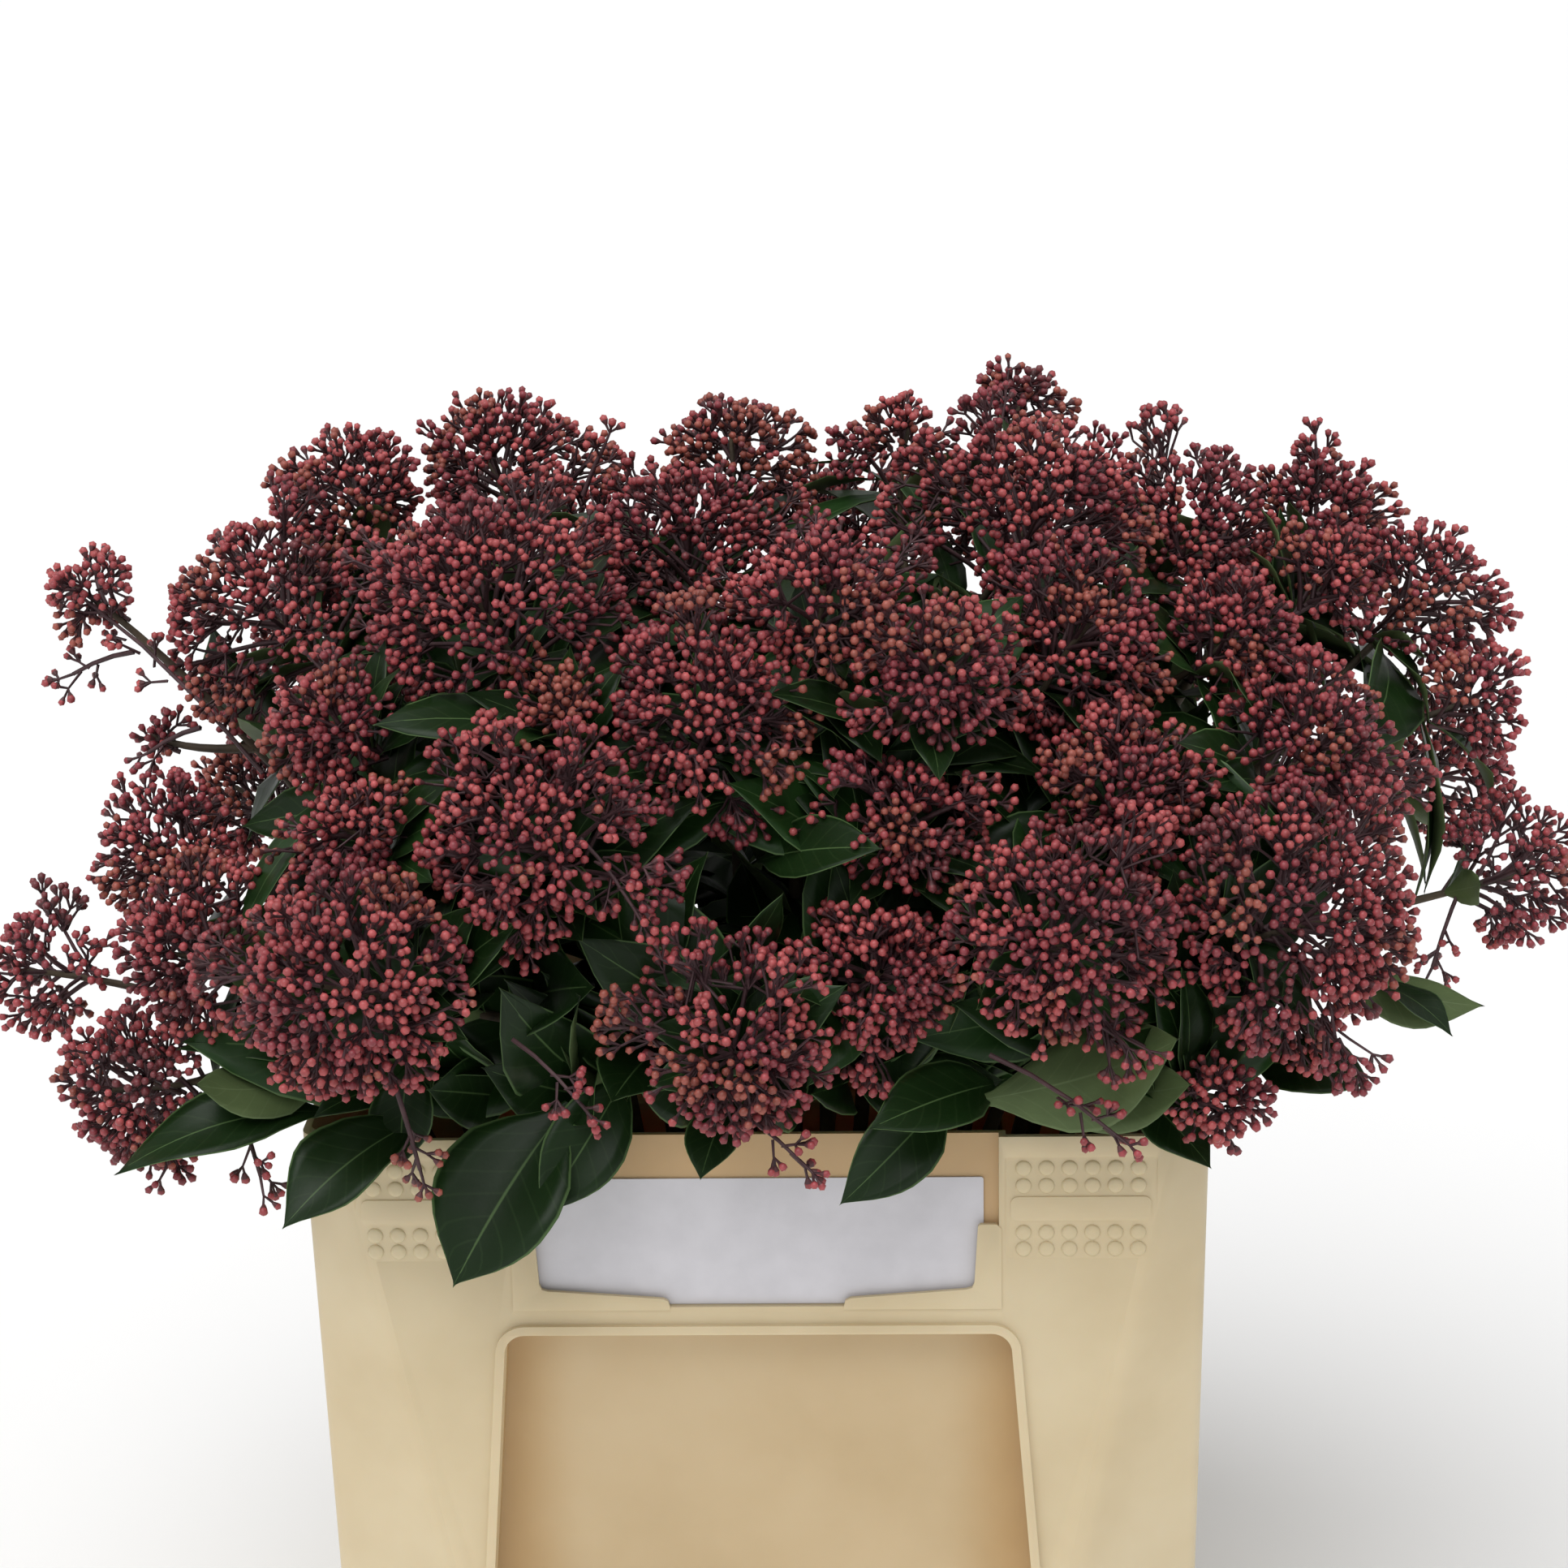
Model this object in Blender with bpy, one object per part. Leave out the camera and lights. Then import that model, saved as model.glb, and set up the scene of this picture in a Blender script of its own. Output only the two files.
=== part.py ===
"""A bunch of cut skimmia stems in bud, standing in a cream plastic flower container with a card on it.

Metres, +Z up. The origin is the middle of the container's flat underside, and the card faces -Y.
"""

import math
import random

import bmesh
import bpy
from mathutils import Matrix, Quaternion, Vector

MM = 0.001
GAP = 0.3 * MM
SEED = 41

# The container: a tub with steep sides, whose corner facets widen towards the foot so that tubs nest.
HEIGHT = 350 * MM
HALF_LENGTH = 195 * MM
HALF_DEPTH = 145 * MM
TAPER = 0.007
FACET_LENGTH = 15 * MM
FACET_LENGTH_SLOPE = 0.19
FACET_DEPTH = 10 * MM
FACET_DEPTH_SLOPE = 0.10
EDGE_RADIUS = 5 * MM
WALL = 3 * MM
FLOOR = 5 * MM
FACE_LEAN = math.atan(TAPER)

# On both long faces: a set-back window with a bead round it, the card's niche, and two fields for stickers.
WINDOW_TOP = 90 * MM
WINDOW_FOOT = 245 * MM
WINDOW_HALF = 110 * MM
WINDOW_SPREAD = 0.07
WINDOW_RADIUS = 9 * MM
WINDOW_DEPTH = 18 * MM
BEAD_WIDTH = 4 * MM
BEAD_HEIGHT = 1.5 * MM
NICHE_HALF = 104.5 * MM
NICHE_FOOT = 78 * MM
NICHE_DEPTH = 5 * MM
HOLDER_TOP = 40 * MM
HOLDER_THICK = 2.2 * MM
HOLDER_ARM = 10 * MM
HOLDER_REACH = 68 * MM
HOLDER_RISE = (7 * MM, 4 * MM)
FIELD_FAR = 172 * MM
FIELD_NEAR = 107 * MM
FIELD_TOP = 9 * MM
FIELD_FOOT = 56 * MM
FIELD_DEPTH = 0.8 * MM
GROOVE_WIDTH = 6.3 * MM
GROOVES = ((134 * MM, 80 * MM, 169 * MM), (151 * MM, 80 * MM, 125 * MM))

CARD_HALF = 98 * MM
CARD_HEIGHT = 58 * MM
CARD_THICK = 0.8 * MM

# The stems stand on the floor, lean out of the mouth and end in one mass of twigs, buds and leaves each.
STEM_RADIUS_FOOT = 4.2 * MM
STEM_RADIUS_TIP = 2.6 * MM
STEM_POINTS = 5
STEM_SIDES = 5
STEM_SPREAD = 0.36
STEM_BEND_HEIGHT = 405 * MM
STEM_BEND_SHARE = 0.5
STEM_BEND_REACH = (138 * MM, 100 * MM)
LEAN_HEIGHT = 330 * MM
LOWEST_TIP = 374 * MM
TIP_DROP = 38 * MM

# A mass: a short stem that forks to one to three panicles, each a small core with sprays of buds on it.
FORK_RADIUS = 2.3 * MM
FORK_SHARE = 0.5
LIMB_RADIUS = 1.6 * MM
LIMB_TAPER = 0.8
LIMB_START = 0.9
LIMB_STEP = 0.15
CORE_SHARE = 0.44
SPRAY_SHOULDER = (0.84, 1.5)
SPRAY_JITTER = 0.10
SPRAY_SHARES = (1, 0.9, 0.8, 0.7)
DOME_SQUASH = 0.88
DOME_UNDERCUT = -0.45
LEAF_LENGTH = (64 * MM, 100 * MM)
LEAF_WIDTH_SHARE = 0.40
LEAF_THICK_SHARE = 0.024
LEAF_TILT = (50, 135)
LEAF_ROOTS = (0.25, 0.95)
SHOWN_LEAF_ROOTS = (0.25, 0.5, 0.75, 0.95)
SHOWN_LEAF_MOST = 118 * MM
LEAF_SUNK = 1.2 * MM
LEAF_CLEAR_SHARE = 0.72
LEAF_TRIES = 26
SPACE_MARGIN = 0.8 * MM
LIMB_MARGIN = 1.2 * MM
TUB_MARGIN = 2.5 * MM
SPOT_STEP = 5 * MM
OWN_STEM_SHARE = 0.96
GOLDEN_ANGLE = math.pi * (3 - math.sqrt(5))

# Each mass by name: how many leaves it carries, and the middle and radius of its panicles, in millimetres.
MASSES = {
    "front_left": (8, (-157, -200, 440, 58)),
    "front_left_upper": (7, (-86, -170, 490, 54), (-162, -146, 486, 36)),
    "front_middle": (8, (-4, -202, 410, 46), (54, -166, 430, 44)),
    "front_right": (8, (130, -190, 444, 57)),
    "front_right_outer": (8, (226, -158, 448, 62), (194, -176, 378, 30)),
    "left_low": (7, (-262, -108, 362, 46), (-312, -80, 412, 40)),
    "left_shoulder": (6, (-256, -56, 466, 46), (-184, -118, 520, 42)),
    "left_hollow": (5, (-232, -124, 426, 40)),
    "right_low": (6, (334, -34, 434, 48)),
    "left_middle": (4, (-112, -80, 564, 60), (-76, -132, 534, 34)),
    "centre": (5, (-26, -122, 540, 46), (31, -98, 566, 48), (78, -128, 548, 44)),
    "centre_low": (5, (66, -146, 488, 42)),
    "centre_right": (5, (137, -66, 545, 48), (158, -126, 492, 44)),
    "right_middle": (6, (238, -88, 500, 46)),
    "upper_left_outer": (6, (-222, 2, 549, 56)),
    "upper_left": (4, (-192, 66, 582, 50), (-126, 84, 588, 54)),
    "top_middle": (4, (-30, 0, 576, 54), (-14, 68, 598, 44)),
    "top_right": (4, (124, 0, 590, 64), (122, 78, 622, 30), (62, 62, 606, 36)),
    "upper_right": (4, (196, 30, 578, 54), (208, -42, 540, 40)),
    "upper_right_outer": (5, (264, 72, 574, 50), (256, 0, 556, 38)),
    "right_shoulder": (5, (302, 20, 536, 50), (328, -24, 498, 42)),
    "far_left_spray": (2, (-298, -18, 566, 28), (-276, -8, 500, 24)),
    "rear_left": (7, (-206, 148, 506, 54), (-278, 78, 448, 50)),
    "rear_left_low": (7, (-98, 172, 536, 56), (-142, 210, 436, 52)),
    "rear_middle": (5, (28, 142, 566, 56)),
    "rear_middle_low": (8, (0, 216, 452, 56)),
    "rear_right": (5, (144, 154, 538, 58)),
    "rear_right_low": (8, (118, 214, 422, 50), (216, 182, 402, 48)),
    "rear_right_outer": (7, (238, 150, 500, 54), (316, 90, 440, 50)),
}

# The tips, in millimetres, of the large leaves that show between the heads and hang over the rim.
SHOWN_LEAVES = {
    "front_left": ((-126, -188, 310), (-176, -190, 338)),
    "front_middle": ((53, -208, 380), (40, -190, 342), (-54, -180, 372), (-44, -176, 436), (0, -172, 458)),
    "front_right": ((140, -206, 376), (112, -188, 360)),
    "front_right_outer": ((256, -156, 378),),
    "left_low": ((-224, -160, 350), (-268, -150, 312)),
    "left_hollow": ((-206, -166, 382),),
    "right_low": ((318, -106, 404),),
}


def material(name, colour, roughness):
    made = bpy.data.materials.new(name)
    made.use_nodes = True
    shader = made.node_tree.nodes["Principled BSDF"]
    shader.inputs["Base Color"].default_value = (*colour, 1)
    shader.inputs["Roughness"].default_value = roughness
    shader.inputs["Metallic"].default_value = 0
    made.diffuse_color = (*colour, 1)
    return made


def collection(name):
    made = bpy.data.collections.new(name)
    bpy.context.scene.collection.children.link(made)
    return made


def add_object(name, bm, home):
    """The object made from a bmesh, with its normals facing out."""
    bmesh.ops.recalc_face_normals(bm, faces=bm.faces)
    mesh = bpy.data.meshes.new(name)
    bm.to_mesh(mesh)
    bm.free()
    obj = bpy.data.objects.new(name, mesh)
    home.objects.link(obj)
    return obj


def as_cutter(obj):
    obj.hide_render = True
    obj.display_type = "WIRE"
    return obj


def boolean(obj, operation, other):
    modifier = obj.modifiers.new(f"{operation} {other.name}", "BOOLEAN")
    modifier.operation = operation
    modifier.object = other
    return modifier


def half_size(drop):
    """Half the tub's length and depth at a distance below the rim."""
    return HALF_LENGTH - TAPER * drop, HALF_DEPTH - TAPER * drop


def tub_outline(drop, inset):
    """The tub's outline at a distance below the rim: a rectangle with a facet at each corner."""
    half_x, half_y = half_size(drop)
    cut_x = FACET_LENGTH + FACET_LENGTH_SLOPE * drop
    cut_y = FACET_DEPTH + FACET_DEPTH_SLOPE * drop
    half_x -= inset
    half_y -= inset
    quarter = [Vector((half_x, half_y - cut_y)), Vector((half_x - cut_x, half_y))]
    mirrored = [Vector((-p.x, p.y)) for p in reversed(quarter)]
    upper = quarter + mirrored
    corners = upper + [-p for p in upper]
    points = []
    for i, corner in enumerate(corners):
        before = (corners[i - 1] - corner).normalized() * EDGE_RADIUS
        after = (corners[(i + 1) % len(corners)] - corner).normalized() * EDGE_RADIUS
        points += [corner + before, corner + (before + after) * 0.25, corner + after]
    return points


def tub_solid(name, top, foot, inset, home):
    """The closed loft between the outlines at two distances below the rim."""
    bm = bmesh.new()
    rings = []
    for drop in (foot, top):
        on_body = min(max(drop, 0), HEIGHT)
        points = tub_outline(on_body, inset)
        rings.append([bm.verts.new((p.x, p.y, HEIGHT - drop)) for p in points])
    bm.faces.new(reversed(rings[0]))
    bm.faces.new(rings[1])
    count = len(rings[0])
    for i in range(count):
        j = (i + 1) % count
        bm.faces.new((rings[0][i], rings[0][j], rings[1][j], rings[1][i]))
    return add_object(name, bm, home)


def on_face(side, shape):
    """Moves a shape drawn in x and z, with y the depth into the wall, on to the front or the rear face."""
    lean = Matrix.Rotation(-FACE_LEAN, 4, "X")
    place = Matrix.Translation((0, -HALF_DEPTH, HEIGHT)) @ lean
    turn = Matrix.Rotation(0 if side < 0 else math.pi, 4, "Z")
    bmesh.ops.transform(shape, matrix=turn @ place, verts=shape.verts)
    return shape


def prism(outline, near, far):
    """The closed prism of an outline of (x, distance below the rim), between two depths into the wall."""
    bm = bmesh.new()
    front = bm.faces.new([bm.verts.new((x, near, -drop)) for x, drop in outline])
    moved = bmesh.ops.extrude_face_region(bm, geom=[front])["geom"]
    verts = [v for v in moved if isinstance(v, bmesh.types.BMVert)]
    bmesh.ops.translate(bm, vec=(0, far - near, 0), verts=verts)
    return bm


def rectangle(left, right, top, foot):
    return [(left, top), (right, top), (right, foot), (left, foot)]


def window_outline(grow):
    """The window's outline, wider towards its foot, with round corners. It is grown by the bead's width."""
    radius = WINDOW_RADIUS + grow
    points = []
    for drop, half, turn in (
        (WINDOW_TOP - grow + radius, WINDOW_HALF + grow - radius, 90),
        (WINDOW_FOOT + grow - radius, window_half(WINDOW_FOOT) + grow - radius, 0),
    ):
        for step in range(4):
            angle = math.radians(turn - 30 * step)
            points.append((half + radius * math.cos(angle), drop - radius * math.sin(angle)))
    return points + [(-x, drop) for x, drop in reversed(points)]


def window_half(drop):
    return WINDOW_HALF + WINDOW_SPREAD * (drop - WINDOW_TOP)


def holder_arm(sign):
    """An L that keeps the card in its niche: an upright at the edge and a foot that tapers inwards."""
    edge = NICHE_HALF + 1 * MM
    foot = NICHE_FOOT + 1 * MM
    high, low = HOLDER_RISE
    outline = [
        (edge, HOLDER_TOP),
        (edge - HOLDER_ARM, HOLDER_TOP),
        (edge - HOLDER_ARM - 2 * MM, foot - high - 2 * MM),
        (edge - HOLDER_REACH, foot - low),
        (edge - HOLDER_REACH, foot),
        (edge, foot),
    ]
    return prism([(sign * x, drop) for x, drop in outline], 0, HOLDER_THICK)


def add_face_details(side, cutters):
    """One long face's solids: joined, cut last, cut first, and those that the inside leaves."""
    tag = "front" if side < 0 else "rear"
    through = 2 * MM
    bead = prism(window_outline(BEAD_WIDTH), -BEAD_HEIGHT, WALL)
    joined = [add_object(f"bead_{tag}", on_face(side, bead), cutters)]
    joined += [
        add_object(f"holder_{tag}_{sign}", on_face(side, holder_arm(sign)), cutters)
        for sign in (-1, 1)
    ]
    window = prism(window_outline(0), -BEAD_HEIGHT - through, WINDOW_DEPTH)
    cut = [add_object(f"window_{tag}", on_face(side, window), cutters)]
    niche = prism(rectangle(-NICHE_HALF, NICHE_HALF, -through, NICHE_FOOT), -through, NICHE_DEPTH)
    slot = [add_object(f"niche_{tag}", on_face(side, niche), cutters)]
    for sign in (-1, 1):
        near, far = sorted((sign * FIELD_NEAR, sign * FIELD_FAR))
        field = prism(rectangle(near, far, FIELD_TOP, FIELD_FOOT), -through, FIELD_DEPTH)
        slot.append(add_object(f"field_{tag}_{near:.3f}", on_face(side, field), cutters))
        for middle, top, foot in GROOVES:
            left = sign * middle - GROOVE_WIDTH / 2
            groove = prism(rectangle(left, left + GROOVE_WIDTH, top, foot), -through, FIELD_DEPTH)
            slot.append(add_object(f"groove_{tag}_{left:.3f}", on_face(side, groove), cutters))
    inner_window = prism(window_outline(WALL), -through, WINDOW_DEPTH + WALL)
    inner_niche = prism(
        rectangle(-NICHE_HALF - WALL, NICHE_HALF + WALL, -4 * through, NICHE_FOOT + WALL),
        -through,
        NICHE_DEPTH + WALL,
    )
    kept = [
        add_object(f"inner_window_{tag}", on_face(side, inner_window), cutters),
        add_object(f"inner_niche_{tag}", on_face(side, inner_niche), cutters),
    ]
    return joined, cut, slot, kept


def add_container(home, cutters):
    """A tub of even wall, whose inside follows the niche and the window that are pressed into its faces."""
    tub = tub_solid("container", 0, HEIGHT, 0, home)
    inside = as_cutter(tub_solid("inside", -20 * MM, HEIGHT - FLOOR, WALL, cutters))
    later = []
    for side in (-1, 1):
        joined, cut, slot, kept = add_face_details(side, cutters)
        for solid in slot:
            boolean(tub, "DIFFERENCE", as_cutter(solid))
        for solid in kept:
            boolean(inside, "DIFFERENCE", as_cutter(solid))
        later += [(as_cutter(solid), "UNION") for solid in joined]
        later += [(as_cutter(solid), "DIFFERENCE") for solid in cut]
    boolean(tub, "DIFFERENCE", inside)
    for solid, operation in later:
        boolean(tub, operation, solid)
    tub.data.materials.append(material("cream plastic", (0.66, 0.52, 0.32), 0.42))
    return tub


def add_card(home):
    """The blank card, which stands in the front niche behind the holder's arms."""
    behind = NICHE_DEPTH - GAP
    outline = rectangle(-CARD_HALF, CARD_HALF, NICHE_FOOT - GAP - CARD_HEIGHT, NICHE_FOOT - GAP)
    card = add_object("card", on_face(-1, prism(outline, behind - CARD_THICK, behind)), home)
    card.data.materials.append(material("white card", (0.78, 0.77, 0.79), 0.5))
    return card


def lean_of(point):
    """The way that growth leans at a point: outwards from a spot inside the mouth."""
    return (point - Vector((0, 0, LEAN_HEIGHT))).normalized()


def tip_of(panicles):
    """Where a mass's stem ends: below the middle of its panicles, clear of the rim."""
    middle = sum((centre for centre, _ in panicles), Vector()) / len(panicles)
    reach = max(radius for _, radius in panicles)
    tip = middle - lean_of(middle) * (reach + TIP_DROP)
    tip.z = max(tip.z, LOWEST_TIP)
    return tip


def stem_path(tip):
    """The curve of a stem, from its foot on the floor to its tip."""
    foot = Vector((tip.x * STEM_SPREAD, tip.y * STEM_SPREAD, FLOOR + GAP))
    bend = foot.lerp(tip, STEM_BEND_SHARE)
    far = max(abs(bend.x) / STEM_BEND_REACH[0], abs(bend.y) / STEM_BEND_REACH[1], 1)
    bend = Vector((bend.x / far, bend.y / far, min(STEM_BEND_HEIGHT, tip.z)))
    points = []
    for i in range(STEM_POINTS):
        t = i / (STEM_POINTS - 1)
        points.append(foot * (1 - t) ** 2 + bend * 2 * t * (1 - t) + tip * t * t)
    return points


def tube_mesh(path, thick, thin, sides, first_along):
    """A closed tapering tube along a path, whose first end is cut square to a given direction."""
    bm = bmesh.new()
    rings = []
    for i, point in enumerate(path):
        along = path[min(i + 1, len(path) - 1)] - path[max(i - 1, 0)] if i else first_along
        turn = Vector((0, 0, 1)).rotation_difference(along)
        radius = thick + (thin - thick) * i / (len(path) - 1)
        ring = []
        for k in range(sides):
            angle = 2 * math.pi * k / sides
            across = Vector((math.cos(angle), math.sin(angle), 0)) * radius
            ring.append(bm.verts.new(point + turn @ across))
        rings.append(ring)
    for low, high in zip(rings, rings[1:]):
        for k in range(sides):
            j = (k + 1) % sides
            bm.faces.new((low[k], low[j], high[j], high[k]))
    bm.faces.new(reversed(rings[0]))
    bm.faces.new(rings[-1])
    return bm


def add_stem(name, path, home):
    """One tapering limb. Its foot is cut flat, to stand on the floor."""
    tube = tube_mesh(path, STEM_RADIUS_FOOT, STEM_RADIUS_TIP, STEM_SIDES, Vector((0, 0, 1)))
    return add_object(name, tube, home)


def align(direction, roll=0.0):
    """The rotation that turns +Z to a direction."""
    return direction.to_track_quat("Z", "Y") @ Quaternion((0, 0, 1), roll)


def twig_mesh(start, end, thick, thin, sides=3, roll=0.0):
    bm = bmesh.new()
    along = end - start
    bmesh.ops.create_cone(
        bm, cap_ends=True, segments=sides, radius1=thick, radius2=thin, depth=along.length
    )
    place = Matrix.LocRotScale(start.lerp(end, 0.5), align(along, roll), None)
    bmesh.ops.transform(bm, matrix=place, verts=bm.verts)
    return bm


def leaf_mesh(root, along, facing, length):
    """A leaf of eight faces: pointed at both ends, widest past its middle, folded a little on its midrib."""
    bm = bmesh.new()
    bmesh.ops.create_uvsphere(bm, u_segments=4, v_segments=2, radius=1)
    width = length * LEAF_WIDTH_SHARE / 2
    thick = length * LEAF_THICK_SHARE / 2
    turn = align(along)
    spin = (turn @ Vector((0, 1, 0))).angle(facing)
    for sign in (1, -1):
        trial = turn @ Quaternion((0, 0, 1), sign * spin)
        if (trial @ Vector((0, 1, 0))).dot(facing) > math.cos(spin / 2):
            turn = trial
            break
    for v in bm.verts:
        middle = abs(v.co.z) < 0.5
        z = 0.56 if middle else (v.co.z + 1) / 2
        lift = 2.2 * thick if middle and abs(v.co.x) > 0.5 else 0
        droop = -0.10 * length if z > 0.9 else 0
        v.co = Vector((v.co.x * width, v.co.y * thick + lift + droop, z * length))
    bmesh.ops.transform(bm, matrix=Matrix.LocRotScale(root, turn, None), verts=bm.verts)
    return bm


class Space:
    """The room that one mass keeps to: nearer to its own panicles than to others, and clear of the limbs."""

    def __init__(self, name, masses, paths):
        self.domes = [dome for panicles in masses.values() for dome in panicles]
        self.limbs = [path for key, path in paths.items() if key != name]
        near_tip = paths[name][-2].lerp(paths[name][-1], OWN_STEM_SHARE)
        self.limbs.append([*paths[name][:-1], near_tip])

    def walls(self, centre, radius, kin=()):
        """The planes between a panicle and the others but its kin, each as a normal and a distance."""
        found = []
        for other, size in self.domes:
            if other == centre or (other, size) in kin:
                continue
            apart = other - centre
            normal = apart.normalized()
            along = (apart.length_squared + radius**2 - size**2) / (2 * apart.length)
            found.append((normal, normal.dot(centre) + along - SPACE_MARGIN))
        return found

    def holds(self, points, walls):
        """True if the convex piece of these points is inside the walls and off the container and stems."""
        if any(max(normal.dot(p) for p in points) > distance for normal, distance in walls):
            return False
        spots = spread(points)
        if any(in_container(spot) for spot in spots):
            return False
        middle = sum(points, Vector()) / len(points)
        reach = max((p - middle).length for p in points)
        clear = STEM_RADIUS_FOOT + LIMB_MARGIN
        for path in self.limbs:
            for start, end in zip(path, path[1:]):
                if to_segment(middle, start, end) > reach + clear:
                    continue
                if min(to_segment(spot, start, end) for spot in spots) < clear:
                    return False
        return True


def to_segment(point, start, end):
    along = end - start
    t = min(max((point - start).dot(along) / along.length_squared, 0), 1)
    return (start + along * t - point).length


def spread(points):
    """Spots a few millimetres apart on the lines between each two of a piece's points."""
    spots = list(points)
    for i, a in enumerate(points):
        for b in points[i + 1 :]:
            steps = math.ceil((a - b).length / SPOT_STEP)
            spots += [a.lerp(b, k / steps) for k in range(1, steps)]
    return spots


def in_container(spot):
    """True if a spot is inside the tub's box, grown by a small clearance."""
    return (
        spot.z < HEIGHT + TUB_MARGIN
        and abs(spot.x) < HALF_LENGTH + TUB_MARGIN
        and abs(spot.y) < HALF_DEPTH + BEAD_HEIGHT + TUB_MARGIN
    )


def panicle_mesh(centre, radius, lean, space, draw):
    """A panicle: a core, from whose faces sprays of buds rise on a narrow neck. It is bare below."""
    bm = bmesh.new()
    bmesh.ops.create_icosphere(bm, subdivisions=1, radius=radius * CORE_SHARE)
    turn = align(Vector([draw.gauss(0, 1) for _ in range(3)]), draw.uniform(0, 2 * math.pi))
    bmesh.ops.transform(bm, matrix=Matrix.LocRotScale(centre, turn, None), verts=bm.verts)
    walls = space.walls(centre, radius)
    for face in list(bm.faces):
        middle = face.calc_center_median()
        direction = (middle - centre).normalized()
        reach = radius * (1 + draw.uniform(-SPRAY_JITTER, SPRAY_JITTER))
        reach *= 1 - (1 - DOME_SQUASH) * abs(direction.dot(lean))
        if direction.dot(lean) < DOME_UNDERCUT:
            continue
        corners = [v.co - middle for v in face.verts]
        out, wide = SPRAY_SHOULDER
        for share in SPRAY_SHARES:
            shoulder = [centre + (direction * reach * out + corner * wide) * share for corner in corners]
            peak = centre + direction * reach * share
            if space.holds([*shoulder, peak, middle], walls):
                grow_spray(bm, face, shoulder, peak)
                break
    return bm


def grow_spray(bm, face, shoulder, peak):
    face = bmesh.ops.extrude_discrete_faces(bm, faces=[face])["faces"][0]
    for vert, spot in zip(face.verts, shoulder):
        vert.co = spot
    tip = bmesh.ops.poke(bm, faces=[face])["verts"][0]
    tip.co = peak


def mass_pieces(name, leaves, panicles, space, tip):
    """The closed pieces of one mass, of which the first is its short stem."""
    draw = random.Random(f"{SEED} {name}")
    middle = sum((centre for centre, _ in panicles), Vector()) / len(panicles)
    lean = lean_of(middle)
    along = (tip - space.limbs[-1][-2]).normalized()
    root = tip + along * GAP
    fork = root.lerp(middle, FORK_SHARE)
    pieces = [tube_mesh([root, fork], STEM_RADIUS_TIP, FORK_RADIUS, STEM_SIDES, along)]
    for i, (centre, radius) in enumerate(panicles):
        start = root.lerp(fork, LIMB_START - LIMB_STEP * i)
        pieces.append(twig_mesh(start, centre, LIMB_RADIUS, LIMB_RADIUS * LIMB_TAPER, sides=4))
        pieces.append(panicle_mesh(centre, radius, lean, space, draw))
    pieces += leaf_pieces(leaves, SHOWN_LEAVES.get(name, ()), panicles, space, root, fork, lean, draw)
    return pieces


def leaf_pieces(count, tips, panicles, space, root, fork, lean, draw):
    """The leaves that show, then others in a whorl. One that would leave the mass's room is skipped."""
    walls = space.walls(*panicles[0], kin=panicles)
    made = []

    def grow(start, along, length, clear_share):
        """True if a leaf from there fits, and is then kept."""
        along = along.normalized()
        facing = (lean - along * lean.dot(along)).normalized()
        leaf = leaf_mesh(start - along * LEAF_SUNK, along, facing, length)
        points = [v.co.copy() for v in leaf.verts]
        under = all(
            (spot - centre).length > radius * clear_share
            for spot in spread(points)
            for centre, radius in panicles
        )
        fits = under and space.holds(points, walls)
        if fits:
            made.append(leaf)
        else:
            leaf.free()
        return fits

    for tip in tips:
        for share in SHOWN_LEAF_ROOTS:
            start = root.lerp(fork, share)
            along = Vector(tip) * MM - start
            if grow(start, along, min(along.length, SHOWN_LEAF_MOST), CORE_SHARE):
                break
    angle = draw.uniform(0, 2 * math.pi)
    turn = align(lean)
    for _ in range(count * LEAF_TRIES):
        if len(made) >= count:
            break
        angle += GOLDEN_ANGLE
        tilt = math.radians(draw.uniform(*LEAF_TILT))
        outward = turn @ Vector((math.cos(angle), math.sin(angle), 0))
        start = root.lerp(fork, draw.uniform(*LEAF_ROOTS))
        along = outward * math.sin(tilt) + lean * math.cos(tilt)
        grow(start, along, draw.uniform(*LEAF_LENGTH), LEAF_CLEAR_SHARE)
    return made


def join_pieces(name, pieces, home):
    """One Boolean union of a mass's pieces. Sealed hollows are filled and loose scraps dropped."""
    extras = collection(f"{name}_pieces")
    base = add_object(name, pieces[0], home)
    for i, piece in enumerate(pieces[1:]):
        add_object(f"{name}_piece_{i}", piece, extras)
    union = base.modifiers.new("union", "BOOLEAN")
    union.operation = "UNION"
    union.operand_type = "COLLECTION"
    union.collection = extras
    union.solver = "MANIFOLD"
    graph = bpy.context.evaluated_depsgraph_get()
    joined = bpy.data.meshes.new_from_object(base.evaluated_get(graph))
    base.modifiers.clear()
    base.data = joined
    for obj in list(extras.objects):
        bpy.data.objects.remove(obj)
    bpy.data.collections.remove(extras)
    keep_largest(joined)
    return base


def keep_largest(mesh):
    """Removes every shell but the one that encloses most."""
    bm = bmesh.new()
    bm.from_mesh(mesh)
    bmesh.ops.triangulate(bm, faces=bm.faces)
    left = set(bm.faces)
    shells = []
    while left:
        shell = {left.pop()}
        edge = list(shell)
        while edge:
            near = {f for e in edge.pop().edges for f in e.link_faces} & left
            left -= near
            shell |= near
            edge += near
        shells.append(shell)
    shells.sort(key=enclosed)
    for shell in shells[:-1]:
        bmesh.ops.delete(bm, geom=list(shell), context="FACES")
    bm.to_mesh(mesh)
    bm.free()


def enclosed(faces):
    return sum(f.verts[0].co.dot(f.verts[1].co.cross(f.verts[2].co)) for f in faces)


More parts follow.
